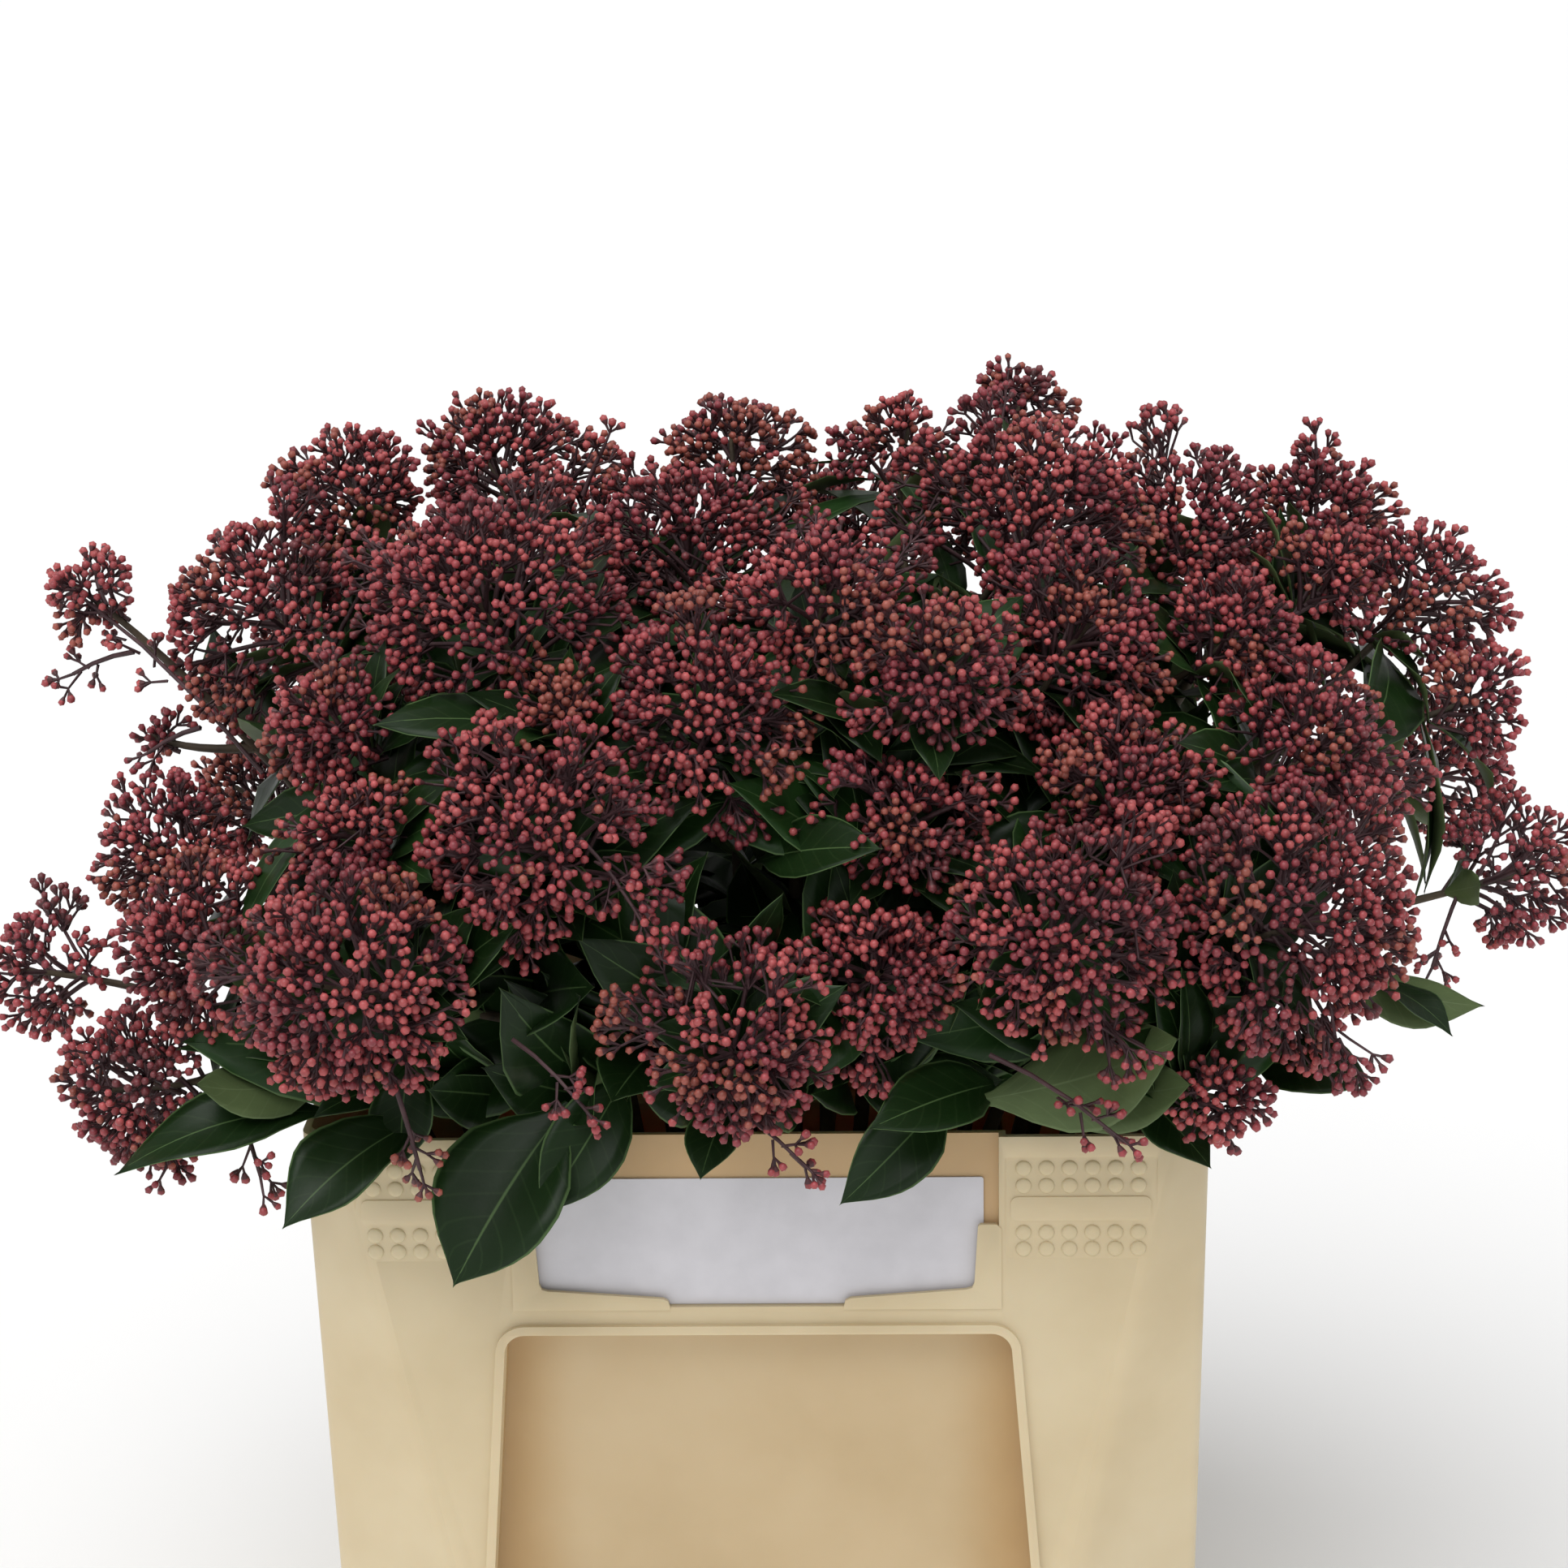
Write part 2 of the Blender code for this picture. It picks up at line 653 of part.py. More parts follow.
def main():
    for obj in list(bpy.data.objects):
        bpy.data.objects.remove(obj)
    home = collection("skimmia")
    cutters = collection("cutters")
    add_container(home, cutters)
    add_card(home)
    bark = material("stem", (0.10, 0.055, 0.05), 0.6)
    bud = material("bud and leaf", (0.27, 0.045, 0.045), 0.5)
    masses = {
        name: [(Vector(p[:3]) * MM, p[3] * MM) for p in panicles]
        for name, (_, *panicles) in MASSES.items()
    }
    paths = {name: stem_path(tip_of(panicles)) for name, panicles in masses.items()}
    for name, panicles in masses.items():
        stem = add_stem(f"stem_{name}", paths[name], home)
        stem.data.materials.append(bark)
        space = Space(name, masses, paths)
        pieces = mass_pieces(name, MASSES[name][0], panicles, space, paths[name][-1])
        mass = join_pieces(f"head_{name}", pieces, home)
        mass.data.materials.clear()
        mass.data.materials.append(bud)


main()
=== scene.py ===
"""A bunch of cut skimmia stems in bud, in a cream plastic flower container: its looks, camera and light.

Metres, +Z up. The origin is the middle of the container's flat underside, and the card faces -Y.
"""

import math

import bmesh
import bpy
import numpy as np
from mathutils import Matrix, Vector
from mathutils.bvhtree import BVHTree

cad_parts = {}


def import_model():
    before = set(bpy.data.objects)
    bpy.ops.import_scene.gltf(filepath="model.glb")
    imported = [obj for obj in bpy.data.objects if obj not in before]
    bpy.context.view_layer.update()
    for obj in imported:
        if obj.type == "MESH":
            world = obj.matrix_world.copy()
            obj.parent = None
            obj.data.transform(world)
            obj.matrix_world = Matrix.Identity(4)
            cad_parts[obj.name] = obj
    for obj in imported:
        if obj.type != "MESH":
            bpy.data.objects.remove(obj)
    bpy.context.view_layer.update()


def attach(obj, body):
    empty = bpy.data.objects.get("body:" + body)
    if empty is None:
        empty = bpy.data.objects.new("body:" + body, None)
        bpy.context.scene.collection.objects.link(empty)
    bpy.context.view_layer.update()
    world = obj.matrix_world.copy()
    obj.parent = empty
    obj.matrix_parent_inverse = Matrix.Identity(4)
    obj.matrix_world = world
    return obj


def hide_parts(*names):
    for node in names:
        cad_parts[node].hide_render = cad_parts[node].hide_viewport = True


MM = 0.001
SEED = 41
GOLDEN_ANGLE = math.pi * (3 - math.sqrt(5))

# The camera, as fitted to the container's edges in a square picture of 1932 pixels a side.
LENS = 83.85
SENSOR = 36
CAMERA_TARGET = Vector((0.016, -0.145, 0.507))
CAMERA_DISTANCE = 1.512
CAMERA_AZIMUTH = math.radians(2.0)
CAMERA_ELEVATION = math.radians(16)
CAMERA_ROLL = math.radians(-1.09)
SKY_STRENGTH = 0.55
SUN_STRENGTH = 2.0
SUN_ANGLE = math.radians(55)
SUN_DIRECTION = Vector((0.25, 0.55, -1.15))

# The container.
HEIGHT = 350 * MM
HALF_LENGTH = 195 * MM
HALF_DEPTH = 145 * MM
TAPER = 0.007
FACET_LENGTH = 15 * MM
FACET_LENGTH_SLOPE = 0.19
FACET_DEPTH = 10 * MM
FACET_DEPTH_SLOPE = 0.10
EDGE_RADIUS = 5 * MM
EDGE_STEPS = 6
WALL = 3 * MM
FLOOR = 5 * MM
FACE_LEAN = math.atan(TAPER)
WINDOW_TOP = 90 * MM
WINDOW_FOOT = 245 * MM
WINDOW_HALF = 110 * MM
WINDOW_SPREAD = 0.07
WINDOW_RADIUS = 9 * MM
WINDOW_DEPTH = 18 * MM
BEAD_WIDTH = 4 * MM
BEAD_HEIGHT = 1.5 * MM
NICHE_HALF = 104.5 * MM
NICHE_FOOT = 78 * MM
NICHE_DEPTH = 5 * MM
HOLDER_TOP = 40 * MM
HOLDER_THICK = 2.2 * MM
HOLDER_ARM = 10 * MM
HOLDER_REACH = 68 * MM
HOLDER_RISE = (7 * MM, 4 * MM)
FIELD_FAR = 172 * MM
FIELD_NEAR = 107 * MM
FIELD_TOP = 9 * MM
FIELD_FOOT = 56 * MM
FIELD_DEPTH = 0.8 * MM
GROOVE_WIDTH = 6.3 * MM
# Each groove pair: how far out it is, its top and its foot below the rim.
GROOVES = ((134 * MM, 80 * MM, 169 * MM), (151 * MM, 80 * MM, 125 * MM))
DOT_RADIUS = 3.6 * MM
DOT_HEIGHT = 1.1 * MM
DOT_PITCH = 9.8 * MM
DOT_COLUMNS = 6
DOT_SIDES = 14
DOT_PROFILE = ((1, -0.4), (0.93, 0.45), (0.72, 0.85), (0.38, 1.0))
DOT_ROWS = (14.5 * MM, 22.5 * MM, 44 * MM, 51.5 * MM)
# Half its length, its top and foot below the rim, its corners' radius and its height.
PLATE = (30 * MM, 27.5 * MM, 38.5 * MM, 3 * MM, 0.7 * MM)
SOFT_EDGE = 0.7 * MM
THROUGH = 2 * MM

# The card, and the gap that pieces keep from one another.
CARD_HALF = 98 * MM
CARD_HEIGHT = 58 * MM
CARD_THICK = 0.8 * MM
GAP = 0.3 * MM

# The stems.
STEM_SPREAD = 0.36
STEM_POINTS = 25
STEM_BEND_HEIGHT = 405 * MM
STEM_BEND_SHARE = 0.5
STEM_BEND_REACH = (138 * MM, 100 * MM)
STEM_RADIUS_FOOT = 4.2 * MM
STEM_RADIUS_TIP = 2.6 * MM
BARK_POINTS = 46
KNOT_PITCH = 6
KNOT_SWELL = 0.16
LEAN_HEIGHT = 330 * MM
LOWEST_TIP = 374 * MM
TIP_DROP = 38 * MM
FORK_SHARE = 0.5
LIMB_POINTS = 8
LIMB_STEP = 0.1

# Radii in millimetres, at the foot and at the tip.
LIMB_RADII = (2.4, 1.1)
RAY_RADII = (1.25, 0.9)
TWIG_RADII = (0.85, 0.65)
STALK_RADII = (0.58, 0.76)

# The rule that heads grow by. Heads whose middle has a y below FRONT are the ones in full sight.
FRONT = -0.1
DOME_SQUASH = 0.88
DOME_UNDERCUT = -0.45
STEM_BELOW = 0.62
STEM_ABOVE = 0.35
RAYS_LEAST = 8
RAY_COVER = 0.92
RAY_SHAKE = 0.06
RAY_POINTS = 4
RAY_REACH = (0.83, 1.02)
RAY_SHARES = (1, 0.92, 0.84, 0.76, 0.68)
RAY_SPREAD = 19 * MM
RAY_BACK = 15 * MM
RAY_LEAST = 0.3
RAY_CLIMB = 0.5
RAY_BEND = 0.10
RAY_MARGIN = 2 * MM
TWIGS = 7
DEEP_TWIGS = 2
DEEP_SPREAD = 0.8
TWIG_DROP = (-1, 5)
DEEP_DROP = (10, 17)
TWIG_BACK = 8 * MM
TWIG_BEND = 1.5
TWIG_SPREAD = 5.8 * MM
PANICLE_ROUND = 1.3
CLUSTER_ROUND = 13 * MM
TOP_LEAST = 0.35
BUDS = 5
BUD_RISES = (-2.4, 1.0)
BUD_RADIUS = 2.05 * MM
BUD_APART = 4.3 * MM
BLADE_CLEAR = 0.85

# How a head on an open edge of the bunch differs: fewer twigs and buds, wider apart, none of the lightest.
LACY_TWIGS = 1.5
LACY_FILL = 0.4
LACY_SPREAD = 0.2
LACY_TINT = 0.25
LACY_FROM = 0.7

# The clusters that cover what the rays leave bare.
COVER_LACE = 0.5
COVER_SPREAD = 8 * MM
COVER_GAP = 6.6 * MM
COVER_MOST = 1.0
COVER_DROP = (0, 4)
COVER_ROOT = (0.5, 0.85)
COVER_BUDS = (2, 5)
COVER_TIGHT = 0.8

# The loose sprigs: how long a twig is in millimetres, how many buds it has and how far they stand off it.
SPRIG_TWIG = (5, 10)
SPRIG_BUDS = (3, 6)
SPRIG_RISES = (5.0, 8.0)

# How rays fill the space up to the next head, and what they keep off.
LOW_SHORT = 0.16
FILL_MOST = 1.45
FILL_HEIGHT = 0.83
WALL_SHORT = 2.5 * MM
FAR = 9.0
SPACE_MARGIN = 0.8 * MM
TUB_MARGIN = 2.5 * MM

# The masses whose second head is russet.
WARM = ("left_middle", "top_middle")
WARM_TINTS = (0.83, 0.93)
WARM_SHARE = 0.75

# Each mass by name: the middle and radius of its panicles, in millimetres.
MASSES = {
    "front_left": ((-157, -202, 437, 58),),
    "front_left_upper": ((-86, -170, 490, 54), (-162, -146, 486, 36)),
    "front_middle": ((-4, -202, 410, 46), (54, -166, 430, 44)),
    "front_right": ((129, -190, 451, 55),),
    "front_right_outer": ((226, -158, 448, 62), (194, -176, 378, 30)),
    "left_low": ((-265, -108, 359, 48), (-310, -80, 405, 42)),
    "left_shoulder": ((-259, -56, 450, 43), (-172, -114, 523, 39)),
    "left_hollow": ((-236, -120, 424, 44),),
    "right_low": ((330, -38, 429, 46),),
    "left_middle": ((-112, -80, 564, 60), (-76, -132, 534, 34)),
    "centre": ((-16, -126, 533, 51), (31, -98, 566, 48), (78, -128, 548, 44)),
    "centre_low": ((66, -146, 488, 42),),
    "centre_right": ((137, -66, 545, 48), (158, -126, 492, 44)),
    "right_middle": ((238, -88, 500, 46),),
    "upper_left_outer": ((-218, 2, 545, 53),),
    "upper_left": ((-186, 66, 583, 47), (-122, 84, 590, 52)),
    "top_middle": ((-30, 0, 572, 51), (-12, 68, 601, 41)),
    "top_right": ((122, 0, 582, 61), (122, 78, 626, 30), (66, 62, 608, 34)),
    "upper_right": ((196, 30, 568, 50), (208, -42, 540, 40)),
    "upper_right_outer": ((260, 72, 564, 46), (256, 0, 556, 38)),
    "right_shoulder": ((298, 22, 540, 48), (317, -22, 507, 37)),
    "far_left_spray": ((-295, -18, 560, 32), (-271, -8, 491, 17)),
    "rear_left": ((-206, 148, 506, 54), (-246, 88, 432, 45)),
    "rear_left_low": ((-100, 172, 530, 54), (-142, 210, 436, 52)),
    "rear_middle": ((28, 142, 546, 50),),
    "rear_middle_low": ((0, 216, 452, 56),),
    "rear_right": ((144, 154, 538, 58),),
    "rear_right_low": ((118, 214, 422, 50), (216, 182, 402, 48)),
    "rear_right_outer": ((238, 150, 500, 54), (316, 90, 440, 50)),
}

WHITE = (1, 1, 1)
BLACK = (0, 0, 0)

# Plain paints: the grain's noise, its colours, the roughness, and the relief's noise, height and strength.
PAINTS = {
    "calyx": (
        (210, 2.0),
        [(0.3, (0.070, 0.024, 0.028)), (0.7, (0.125, 0.040, 0.042))],
        0.5,
        (1200, 2.0, 0.12 * MM, 0.5),
    ),
    "stalk": (
        (120, 3.0),
        [(0.3, (0.040, 0.017, 0.020)), (0.55, (0.066, 0.028, 0.033)), (0.75, (0.10, 0.045, 0.05))],
        0.6,
        (900, 3.0, 0.15 * MM, 0.6),
    ),
    "bark": (
        (60, 5.0, 0.6),
        [(0.3, (0.035, 0.026, 0.017)), (0.5, (0.068, 0.050, 0.030)), (0.7, (0.11, 0.080, 0.046))],
        0.7,
        (500, 4.0, 0.4 * MM, 0.7),
    ),
    "white_card": (
        (90, 3.0),
        [(0.3, (0.6432, 0.6288, 0.6624)), (0.7, (0.6901, 0.67465, 0.7107))],
        0.4,
        (1500, 2.0, 0.05 * MM, 0.2),
    ),
}
PLASTIC = [(0.3, (0.62, 0.50, 0.305)), (0.55, (0.69, 0.572, 0.369)), (0.75, (0.73, 0.62, 0.417))]

# The window's panel is what lies behind its face and within its half width. Its sides darken over a range.
# The panel, its sides and the card's niche take painted shade: darker, warmer tints.
PANEL_FACE = 0.134
PANEL_HALF = 0.121
PANEL_EDGE = 6 * MM
PANEL_SIDE_SHADE_RANGE = (0.078, 0.112)
# Tints of painted shade: on the window's panel, towards its sides, and in the card's niche.
PANEL_SHADE_TINT = (0.86, 0.79, 0.72)
PANEL_SIDE_SHADE_TINT = (0.88, 0.77, 0.62)
NICHE_SHADE_TINT = (1.0, 0.82, 0.68)

# Leaves: name, blade, rib, roughness and how much the side veins show.
LEAF_PAINTS = (
    ("leaf_top_deep", (0.008, 0.024, 0.005), (0.105, 0.18, 0.065), 0.38, 0.12),
    ("leaf_under", (0.104, 0.150, 0.058), (0.16, 0.22, 0.10), 0.6, 0.3),
    ("leaf_top_fresh", (0.014, 0.044, 0.009), (0.105, 0.18, 0.065), 0.40, 0.12),
)
LEAF_SHINE = 0.22
VEIN_SLANT = -0.22
VEIN_PITCH = 52


def unit(vectors):
    return vectors / np.maximum(np.linalg.norm(vectors, axis=-1, keepdims=True), 1e-12)


def frames(directions):
    """Two unit vectors, square to each direction and to each other."""
    steep = np.abs(directions[..., 2:3]) > 0.9
    helper = np.where(steep, np.array((1.0, 0.0, 0.0)), np.array((0.0, 0.0, 1.0)))
    across = unit(np.cross(directions, helper))
    return across, np.cross(directions, across)


class Heap:
    """The vertices and faces of one piece, gathered from many small shapes."""

    def __init__(self):
        self.verts = []
        self.faces = []
        self.slots = []
        self.uvs = []
        self.count = 0

    def add(self, verts, faces, slot=0, uv=None):
        verts = np.asarray(verts, float).reshape(-1, 3)
        faces = np.asarray(faces)
        self.verts.append(verts)
        self.faces.append(faces + self.count)
        self.slots.append(np.full(len(faces), slot))
        self.uvs.append(np.zeros((len(verts), 2)) if uv is None else np.asarray(uv).reshape(-1, 2))
        self.count += len(verts)

    def build(self, name, materials):
        verts = np.concatenate(self.verts).astype(np.float32)
        sizes = np.concatenate([np.full(len(f), f.shape[1]) for f in self.faces])
        corners = np.concatenate([f.ravel() for f in self.faces]).astype(np.int32)
        starts = np.concatenate([[0], np.cumsum(sizes)[:-1]]).astype(np.int32)
        mesh = bpy.data.meshes.new(name)
        mesh.vertices.add(len(verts))
        mesh.vertices.foreach_set("co", verts.ravel())
        mesh.loops.add(len(corners))
        mesh.loops.foreach_set("vertex_index", corners)
        mesh.polygons.add(len(sizes))
        mesh.polygons.foreach_set("loop_start", starts)
        mesh.polygons.foreach_set("material_index", np.concatenate(self.slots).astype(np.int32))
        mesh.polygons.foreach_set("use_smooth", np.ones(len(sizes), bool))
        layer = mesh.uv_layers.new(name="UVMap")
        layer.data.foreach_set("uv", np.concatenate(self.uvs)[corners].astype(np.float32).ravel())
        mesh.update(calc_edges=True)
        mesh.validate()
        for made in materials:
            mesh.materials.append(made)
        return link(name, mesh)


def tubes(paths, radii, sides):
    """The vertices and faces of tubes along paths of equally many points, with a radius at each point."""
    paths = np.asarray(paths, float)
    count, points, _ = paths.shape
    along = unit(np.gradient(paths, axis=1))
    across = frames(unit(paths[:, -1] - paths[:, 0]))[0][:, None]
    side = unit(across - along * np.sum(across * along, axis=-1, keepdims=True))
    up = np.cross(along, side)
    angles = 2 * np.pi * np.arange(sides) / sides
    ring = np.cos(angles)[:, None] * side[:, :, None] + np.sin(angles)[:, None] * up[:, :, None]
    verts = paths[:, :, None] + ring * np.broadcast_to(radii, (count, points))[:, :, None, None]
    index = np.arange(count * points * sides).reshape(count, points, sides)
    low = index[:, :-1]
    high = index[:, 1:]
    quads = np.stack([low, np.roll(low, -1, 2), np.roll(high, -1, 2), high], axis=-1)
    return verts.reshape(-1, 3), quads.reshape(-1, 4)


def curves(starts, bends, ends, points):
    """Quadratic curves from starts to ends, drawn towards bends."""
    t = np.linspace(0, 1, points)[None, :, None]
    starts, bends, ends = (np.asarray(p, float)[:, None] for p in (starts, bends, ends))
    return starts * (1 - t) ** 2 + bends * 2 * t * (1 - t) + ends * t * t


def new_material(name):
    made = bpy.data.materials.new(name)
    made.use_nodes = True
    tree = made.node_tree
    return made, tree, tree.nodes["Principled BSDF"]


def node(tree, kind, **inputs):
    made = tree.nodes.new(kind)
    for key, value in inputs.items():
        made.inputs[key].default_value = value
    return made


def split_place(tree, kind, output):
    """The X, Y and Z of a place: the map's own, or the object's."""
    place = tree.nodes.new(kind)
    split = tree.nodes.new("ShaderNodeSeparateXYZ")
    tree.links.new(place.outputs[output], split.inputs["Vector"])
    return split.outputs


def noise(tree, scale, detail=3.0, rough=0.5):
    """A noise's value over the object's own coordinates."""
    place = tree.nodes.new("ShaderNodeTexCoord")
    made = node(tree, "ShaderNodeTexNoise", Scale=scale, Detail=detail, Roughness=rough)
    tree.links.new(place.outputs["Object"], made.inputs["Vector"])
    return made.outputs["Fac"]


def ramp(tree, value, stops):
    """Colours by a value, as (place, colour) stops."""
    made = tree.nodes.new("ShaderNodeValToRGB")
    band = made.color_ramp
    while len(band.elements) < len(stops):
        band.elements.new(0.5)
    for element, (place, colour) in zip(band.elements, stops):
        element.position = place
        element.color = (*colour, 1)
    tree.links.new(value, made.inputs["Fac"])
    return made.outputs["Color"]


def maths(tree, operation, first, *others):
    """A Math node's result: each input is a socket or a number."""
    made = tree.nodes.new("ShaderNodeMath")
    made.operation = operation
    for k, value in enumerate((first, *others)):
        if isinstance(value, (int, float)):
            made.inputs[k].default_value = value
        else:
            tree.links.new(value, made.inputs[k])
    return made.outputs[0]


def both(tree, first, *masks):
    """A mask that is 1 where all of these are."""
    for mask in masks:
        first = maths(tree, "MULTIPLY", first, mask)
    return first


def mixed(tree, way, first, second, share):
    """Two colours mixed in a way, by a mask."""
    made = tree.nodes.new("ShaderNodeMix")
    made.data_type = "RGBA"
    made.blend_type = way
    tree.links.new(share, made.inputs["Factor"])
    tree.links.new(first, made.inputs[6])
    made.inputs[7].default_value = (*second, 1)
    return made.outputs[2]


def shade(colour, factor):
    return tuple(min(1.0, c * factor) for c in colour)


def coat(tree, shader, colour, roughness, specular, relief):
    """Gives a shader its colour and shine, and a relief: scale and detail of a noise, height and strength."""
    scale, detail, height, strength = relief
    tree.links.new(colour, shader.inputs["Base Color"])
    shader.inputs["Roughness"].default_value = roughness
    shader.inputs["Specular IOR Level"].default_value = specular
    bump = node(tree, "ShaderNodeBump", Strength=strength, Distance=height)
    tree.links.new(noise(tree, scale, detail), bump.inputs["Height"])
    tree.links.new(bump.outputs["Normal"], shader.inputs["Normal"])


def grainy(name, grain, stops, roughness, relief, specular=0.5):
    """A material whose colours follow a noise, given by its scale, detail and roughness."""
    made, tree, shader = new_material(name)
    coat(tree, shader, ramp(tree, noise(tree, *grain), stops), roughness, specular, relief)
    return made


def bud_material(name, colour):
    stops = [(0.3, shade(colour, 0.72)), (0.5, colour), (0.72, shade(colour, 1.35))]
    return grainy(name, (210, 2.0), stops, 0.4, (1400, 2.0, 0.12 * MM, 0.5), 0.45)


def plain_material(name):
    """One of the paints in PAINTS."""
    return grainy(name, *PAINTS[name])


def leaf_material(name, blade, rib, roughness, vein):
    """A leaf's side: its blade, a paler midrib and margin by the map across it, and side veins."""
    made, tree, shader = new_material(name)
    place = split_place(tree, "ShaderNodeUVMap", "UV")
    out = maths(tree, "ABSOLUTE", place["X"])
    slant = maths(tree, "MULTIPLY_ADD", out, VEIN_SLANT, place["Y"])
    wave = maths(tree, "SINE", maths(tree, "MULTIPLY", slant, VEIN_PITCH))
    masks = (
        (ramp(tree, wave, [(0.9, BLACK), (1.0, (vein,) * 3)]), 0.5),
        (ramp(tree, out, [(0.0, WHITE), (0.014, (0.8,) * 3), (0.030, BLACK)]), 0.65),
        (ramp(tree, out, [(0.935, BLACK), (0.97, WHITE)]), 0.7),
    )
    stops = [(0.3, shade(blade, 0.75)), (0.55, blade), (0.75, shade(blade, 1.3))]
    colour = ramp(tree, noise(tree, 28, 4.0), stops)
    for mask, share in masks:
        colour = mixed(tree, "MIX", colour, rib, maths(tree, "MULTIPLY", mask, share))
    coat(tree, shader, colour, roughness, LEAF_SHINE, (320, 3.0, 0.2 * MM, 0.4))
    return made


def plastic_material():
    """Cream plastic with painted shade and painted warm bounce light: darker and warmer on the window's thin
    recessed panel, more so towards its sides, and in the card's niche.
    """
    made, tree, shader = new_material("cream_plastic_painted_shade")
    base = ramp(tree, noise(tree, 9, 5.0, 0.55), PLASTIC)
    place = split_place(tree, "ShaderNodeTexCoord", "Object")
    x = maths(tree, "ABSOLUTE", place["X"])
    y = maths(tree, "ABSOLUTE", place["Y"])
    z = place["Z"]
    # Painted shade: the window's recessed panel is darker and warmer.
    panel = both(
        tree,
        maths(tree, "LESS_THAN", y, PANEL_FACE),
        maths(tree, "LESS_THAN", x, PANEL_HALF),
        maths(tree, "GREATER_THAN", z, HEIGHT - WINDOW_FOOT - PANEL_EDGE),
        maths(tree, "LESS_THAN", z, HEIGHT - WINDOW_TOP + PANEL_EDGE),
    )
    base = mixed(tree, "MULTIPLY", base, PANEL_SHADE_TINT, panel)
    # Painted shade: deeper towards the panel's sides.
    side = tree.nodes.new("ShaderNodeMapRange")
    side.interpolation_type = "SMOOTHSTEP"
    side.inputs["From Min"].default_value, side.inputs["From Max"].default_value = PANEL_SIDE_SHADE_RANGE
    tree.links.new(x, side.inputs["Value"])
    base = mixed(tree, "MULTIPLY", base, PANEL_SIDE_SHADE_TINT, both(tree, panel, side.outputs["Result"]))
    # Painted shade: the card's niche is darker and warmer.
    niche = both(
        tree,
        maths(tree, "LESS_THAN", x, NICHE_HALF),
        maths(tree, "COMPARE", y, HALF_DEPTH - NICHE_DEPTH, 1.6 * MM),
        maths(tree, "GREATER_THAN", z, HEIGHT - NICHE_FOOT),
    )
    base = mixed(tree, "MULTIPLY", base, NICHE_SHADE_TINT, niche)
    coat(tree, shader, base, 0.5, 0.4, (700, 2.0, 0.1 * MM, 0.25))
    rough = ramp(tree, noise(tree, 40, 4.0), [(0.3, (0.38,) * 3), (0.7, (0.52,) * 3)])
    tree.links.new(rough, shader.inputs["Roughness"])
    shader.inputs["Subsurface Weight"].default_value = 0.12
    shader.inputs["Subsurface Radius"].default_value = (1.0, 0.55, 0.25)
    shader.inputs["Subsurface Scale"].default_value = 6 * MM
    return made


def floor_material():
    made, _, shader = new_material("pale_floor")
    shader.inputs["Base Color"].default_value = (0.93, 0.93, 0.93, 1)
    shader.inputs["Roughness"].default_value = 0.9
    shader.inputs["Specular IOR Level"].default_value = 0.1
    return made


def tub_outline(drop, inset):
    """The tub's outline at a distance below the rim: a rectangle with a facet at each corner."""
    half_x = HALF_LENGTH - TAPER * drop - inset
    half_y = HALF_DEPTH - TAPER * drop - inset
    cut_x = FACET_LENGTH + FACET_LENGTH_SLOPE * drop
    cut_y = FACET_DEPTH + FACET_DEPTH_SLOPE * drop
    quarter = [Vector((half_x, half_y - cut_y)), Vector((half_x - cut_x, half_y))]
    upper = quarter + [Vector((-p.x, p.y)) for p in reversed(quarter)]
    corners = upper + [-p for p in upper]
    points = []
    for i, corner in enumerate(corners):
        before = (corners[i - 1] - corner).normalized() * EDGE_RADIUS
        after = (corners[(i + 1) % len(corners)] - corner).normalized() * EDGE_RADIUS
        for step in range(EDGE_STEPS + 1):
            t = step / EDGE_STEPS
            points.append(corner + before * (1 - t) ** 2 + after * t**2)
    return points


def link(name, data):
    obj = bpy.data.objects.new(name, data)
    bpy.context.scene.collection.objects.link(obj)
    return obj


def add_object(name, bm):
    bmesh.ops.recalc_face_normals(bm, faces=bm.faces)
    mesh = bpy.data.meshes.new(name)
    bm.to_mesh(mesh)
    bm.free()
    return link(name, mesh)


def loft(bm, rings):
    """The faces from each ring of vertices to the next."""
    for low, high in zip(rings, rings[1:]):
        for k in range(len(low)):
            j = (k + 1) % len(low)
            bm.faces.new((low[k], low[j], high[j], high[k]))


def tub_solid(name, top, foot, inset):
    bm = bmesh.new()
    rings = []
    for drop in (foot, top):
        points = tub_outline(min(max(drop, 0), HEIGHT), inset)
        rings.append([bm.verts.new((p.x, p.y, HEIGHT - drop)) for p in points])
    bm.faces.new(reversed(rings[0]))
    bm.faces.new(rings[1])
    loft(bm, rings)
    return add_object(name, bm)


def face_place(side):
    """Where shapes drawn in x and z, with y the depth into the wall, go on the front or the rear face."""
    lean = Matrix.Rotation(-FACE_LEAN, 4, "X")
    turn = Matrix.Rotation(0 if side < 0 else math.pi, 4, "Z")
    return turn @ Matrix.Translation((0, -HALF_DEPTH, HEIGHT)) @ lean


def prism(outline, near, far, side, name="cutter"):
    """A solid from one depth to another, over an outline of (x, distance below the rim)."""
    bm = bmesh.new()
    front = bm.faces.new([bm.verts.new((x, near, -drop)) for x, drop in outline])
    moved = bmesh.ops.extrude_face_region(bm, geom=[front])["geom"]
    verts = [v for v in moved if isinstance(v, bmesh.types.BMVert)]
    bmesh.ops.translate(bm, vec=(0, far - near, 0), verts=verts)
    bmesh.ops.transform(bm, matrix=face_place(side), verts=bm.verts)
    return add_object(name, bm)


def rectangle(left, right, top, foot):
    return [(left, top), (right, top), (right, foot), (left, foot)]


